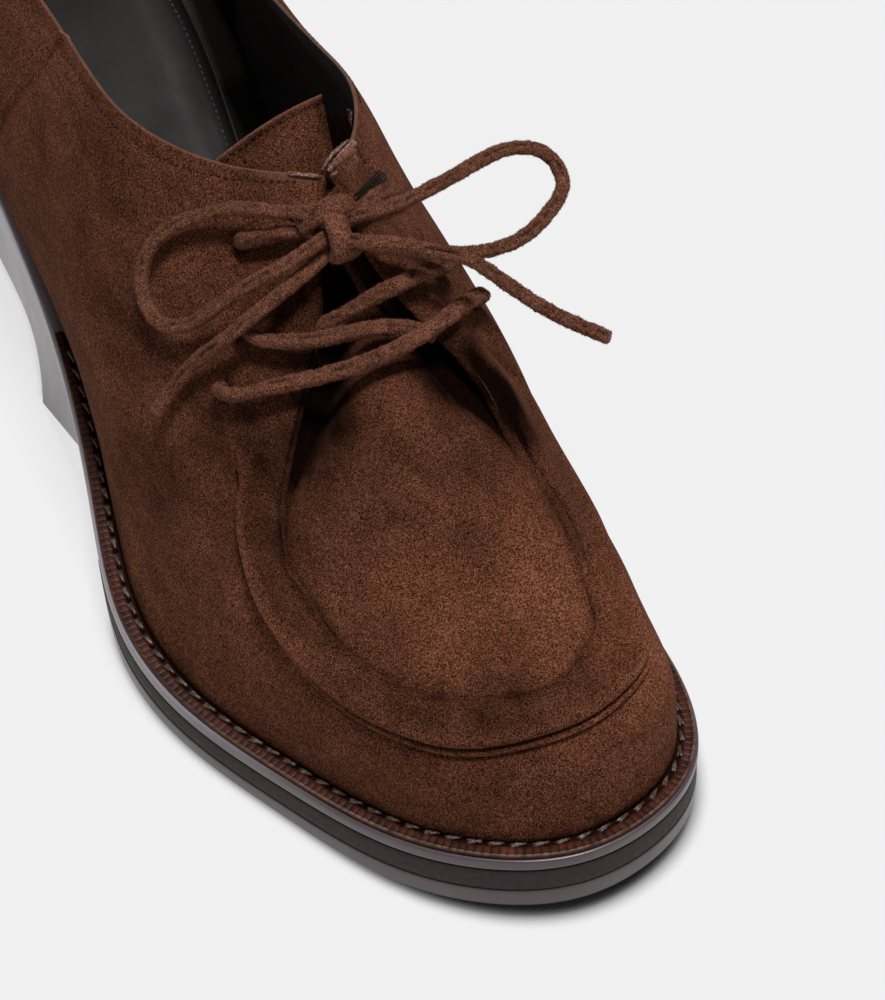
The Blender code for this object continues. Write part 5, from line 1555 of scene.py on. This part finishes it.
# %% Geometry Nodes: fibres on a surface
def fibres_tree():
    tree, given = new_tree("fibres_on_surface", Density="Float", Length="Float", Width="Float", Lean="Float",
                           Seed="Int", Finish="Material")
    scatter = add_node(tree, "GeometryNodeDistributePointsOnFaces", {
        "Mesh": given["Geometry"], "Density": given["Density"], "Seed": given["Seed"]})
    blade = add_node(tree, "GeometryNodeMeshCircle", {"Vertices": 3, "Radius": 0.6}, fill_type="NGON")
    fibre = add_node(tree, "GeometryNodeTransform", {
        "Geometry": blade.outputs["Mesh"], "Translation": (0.0, 0.0, 0.3),
        "Rotation": (0.5 * math.pi, -0.5 * math.pi, 0.0)})
    most = add_node(tree, "ShaderNodeCombineXYZ", {"X": given["Lean"], "Y": given["Lean"], "Z": 3.1})
    least = add_node(tree, "ShaderNodeVectorMath", {0: most.outputs[0], "Scale": -1.0}, operation="SCALE")
    lean = add_node(tree, "FunctionNodeRandomValue", {
        "Min": least.outputs[0], "Max": most.outputs[0], "Seed": given["Seed"]}, data_type="FLOAT_VECTOR")
    grow = add_node(tree, "FunctionNodeRandomValue", {
        2: 0.35, 3: 1.0, "Seed": given["Seed"]}, data_type="FLOAT")
    tall = add_node(tree, "ShaderNodeMath", {0: grow.outputs[1], 1: given["Length"]}, operation="MULTIPLY")
    size = add_node(tree, "ShaderNodeCombineXYZ", {
        "X": given["Width"], "Y": given["Width"], "Z": tall.outputs[0]})
    rotation = turned(tree, scatter.outputs["Rotation"], lean.outputs[0])
    hand_out(tree, scatter.outputs["Points"], fibre.outputs["Geometry"], rotation, size.outputs[0],
             given["Finish"], False)
    return tree


FIBRES = fibres_tree()
print("tree", FIBRES.name, "nodes", len(FIBRES.nodes))


# %% Fibres of the lace
def fray(name, piece, look, per_mm2, length, width, lean, seed):
    bpy.context.view_layer.update()
    return through_tree(name, piece, FIBRES, {
        "Density": per_mm2 * 1.0e6, "Length": length * 0.001, "Width": width * 0.001, "Lean": lean,
        "Seed": seed, "Finish": look})


for seed, (label, piece) in enumerate(list(lace_pieces.items()) + [("lace_knot", knot)]):
    hairs = fray(label + "_fray", piece, LACE_SUEDE, 15.0, 0.50, 0.10, 0.9, 40 + seed)
    wear(hairs, "lace_suede")

# %% [markdown]
# Floor and light. The photograph is a plain studio shot on a pale sweep: an even bright surround, one
# soft light nearly overhead, a little to the front, and only a thin contact shadow. A lit floor would
# darken around the shoe, so it glows like a light table, and its glow fades out under the sole and the
# heel and a little beyond their edges, a painted contact shadow. Two low panels lift the outer side and
# the front a little. The floor fills the view from any side.

# %% Floor
FLOOR_GLOW, FLOOR_STEP = 0.73, 0.8
FAR_LOW, FAR_HIGH = (-6000.0, -1500.0, -300.0), (500.0, 1500.0, 6000.0)


def graded(low, high, step):
    """Places close together around the shoe and far apart beyond it."""
    return np.concatenate([FAR_LOW, np.arange(low, high, step), FAR_HIGH])


def way_outside(points, loop):
    """Signed way of each point from a closed loop seen from above, positive outside it."""
    gap, inside = np.full(len(points), 1.0e9), np.zeros(len(points), bool)
    for a, b in zip(loop, np.roll(loop, -1, axis=0)):
        share = np.clip((points - a) @ (b - a) / max((b - a) @ (b - a), 1e-12), 0.0, 1.0)
        gap = np.minimum(gap, np.linalg.norm(points - a - share[:, None] * (b - a), axis=1))
        crosses = (a[1] > points[:, 1]) != (b[1] > points[:, 1])
        crossing = a[0] + (points[:, 1] - a[1]) * (b[0] - a[0]) / (b[1] - a[1] + 1e-12)
        inside ^= crosses & (points[:, 0] < crossing)
    return np.where(inside, -gap, gap)


floor_x, floor_y = graded(-20.0, 270.0, FLOOR_STEP), graded(-70.0, 60.0, FLOOR_STEP)
spots = np.stack(np.meshgrid(floor_x, floor_y, indexing="ij"), -1).reshape(-1, 2)
# painted contact shadow: the glow fades out under the sole and the heel and a few millimetres beyond
reach = 1.0 + 2.0 * smoothstep(-40.0, -10.0, spots[:, 1])
ball_painted_shadow = smoothstep(reach, -2.0, way_outside(spots, outline(front_turn)))
ball_painted_shadow = ball_painted_shadow * smoothstep(146.0, 158.0, spots[:, 0])
heel_painted_shadow = smoothstep(3.0, -2.0, way_outside(spots, heel_rings[0][:, :2]))
paper = Look("sweep", (0.15, 0.15, 0.15))
paper.put({
    "Base Color": paper.ramp(paper.noise(1.2), (0.3, (0.148, 0.148, 0.148)), (0.7, (0.152, 0.152, 0.152))),
    "Roughness": 0.9, "Specular IOR Level": 0.1, "Emission Color": (1.0, 1.0, 1.0, 1.0),
    "Emission Strength": paper.sums(0.0, (paper.mark("glow"), FLOOR_GLOW, 0.0))})
floor = skin("floor", np.column_stack([spots, np.zeros(len(spots))]),
             grid_faces(len(floor_x), len(floor_y))[:, ::-1], paper.material,
             marks={"glow": 1.0 - np.maximum(ball_painted_shadow, heel_painted_shadow)}, outward=False)
print("floor points", len(spots))


# %% Lights and world
AIM = (0.0, 0.0, 0.05)


def softbox(name, place, size, power):
    """Rectangular light that looks at the shoe."""
    lamp = bpy.data.lights.new(name, "AREA")
    lamp.shape = "RECTANGLE"
    lamp.size, lamp.size_y = size
    lamp.energy = power
    item = bpy.data.objects.new(name, lamp)
    scene.collection.objects.link(item)
    away = unit(np.array(place) - np.array(AIM))
    side = unit(np.cross([0.0, 0.0, 1.0], away)) if abs(away[2]) < 0.99 else np.array([1.0, 0.0, 0.0])
    matrix = np.eye(4)
    matrix[:3, :] = np.column_stack([side, np.cross(away, side), away, place])
    item.matrix_world = Matrix(matrix.tolist())


softbox("key_light", (0.25, 0.17, 2.7), (0.6, 0.6), 62.0)
softbox("outer_panel", (-0.3, -1.8, 0.7), (2.0, 1.2), 2.0)
softbox("front_panel", (1.8, 0.3, 0.8), (2.0, 1.2), 3.0)
world = bpy.data.worlds.new("studio")
world.use_nodes = True
fill(world.node_tree, world.node_tree.nodes["Background"], {"Color": (1.0, 1.0, 1.0, 1.0), "Strength": 0.10})
scene.world = world
scene.view_settings.view_transform = "Standard"
print("three soft lights and a plain world")
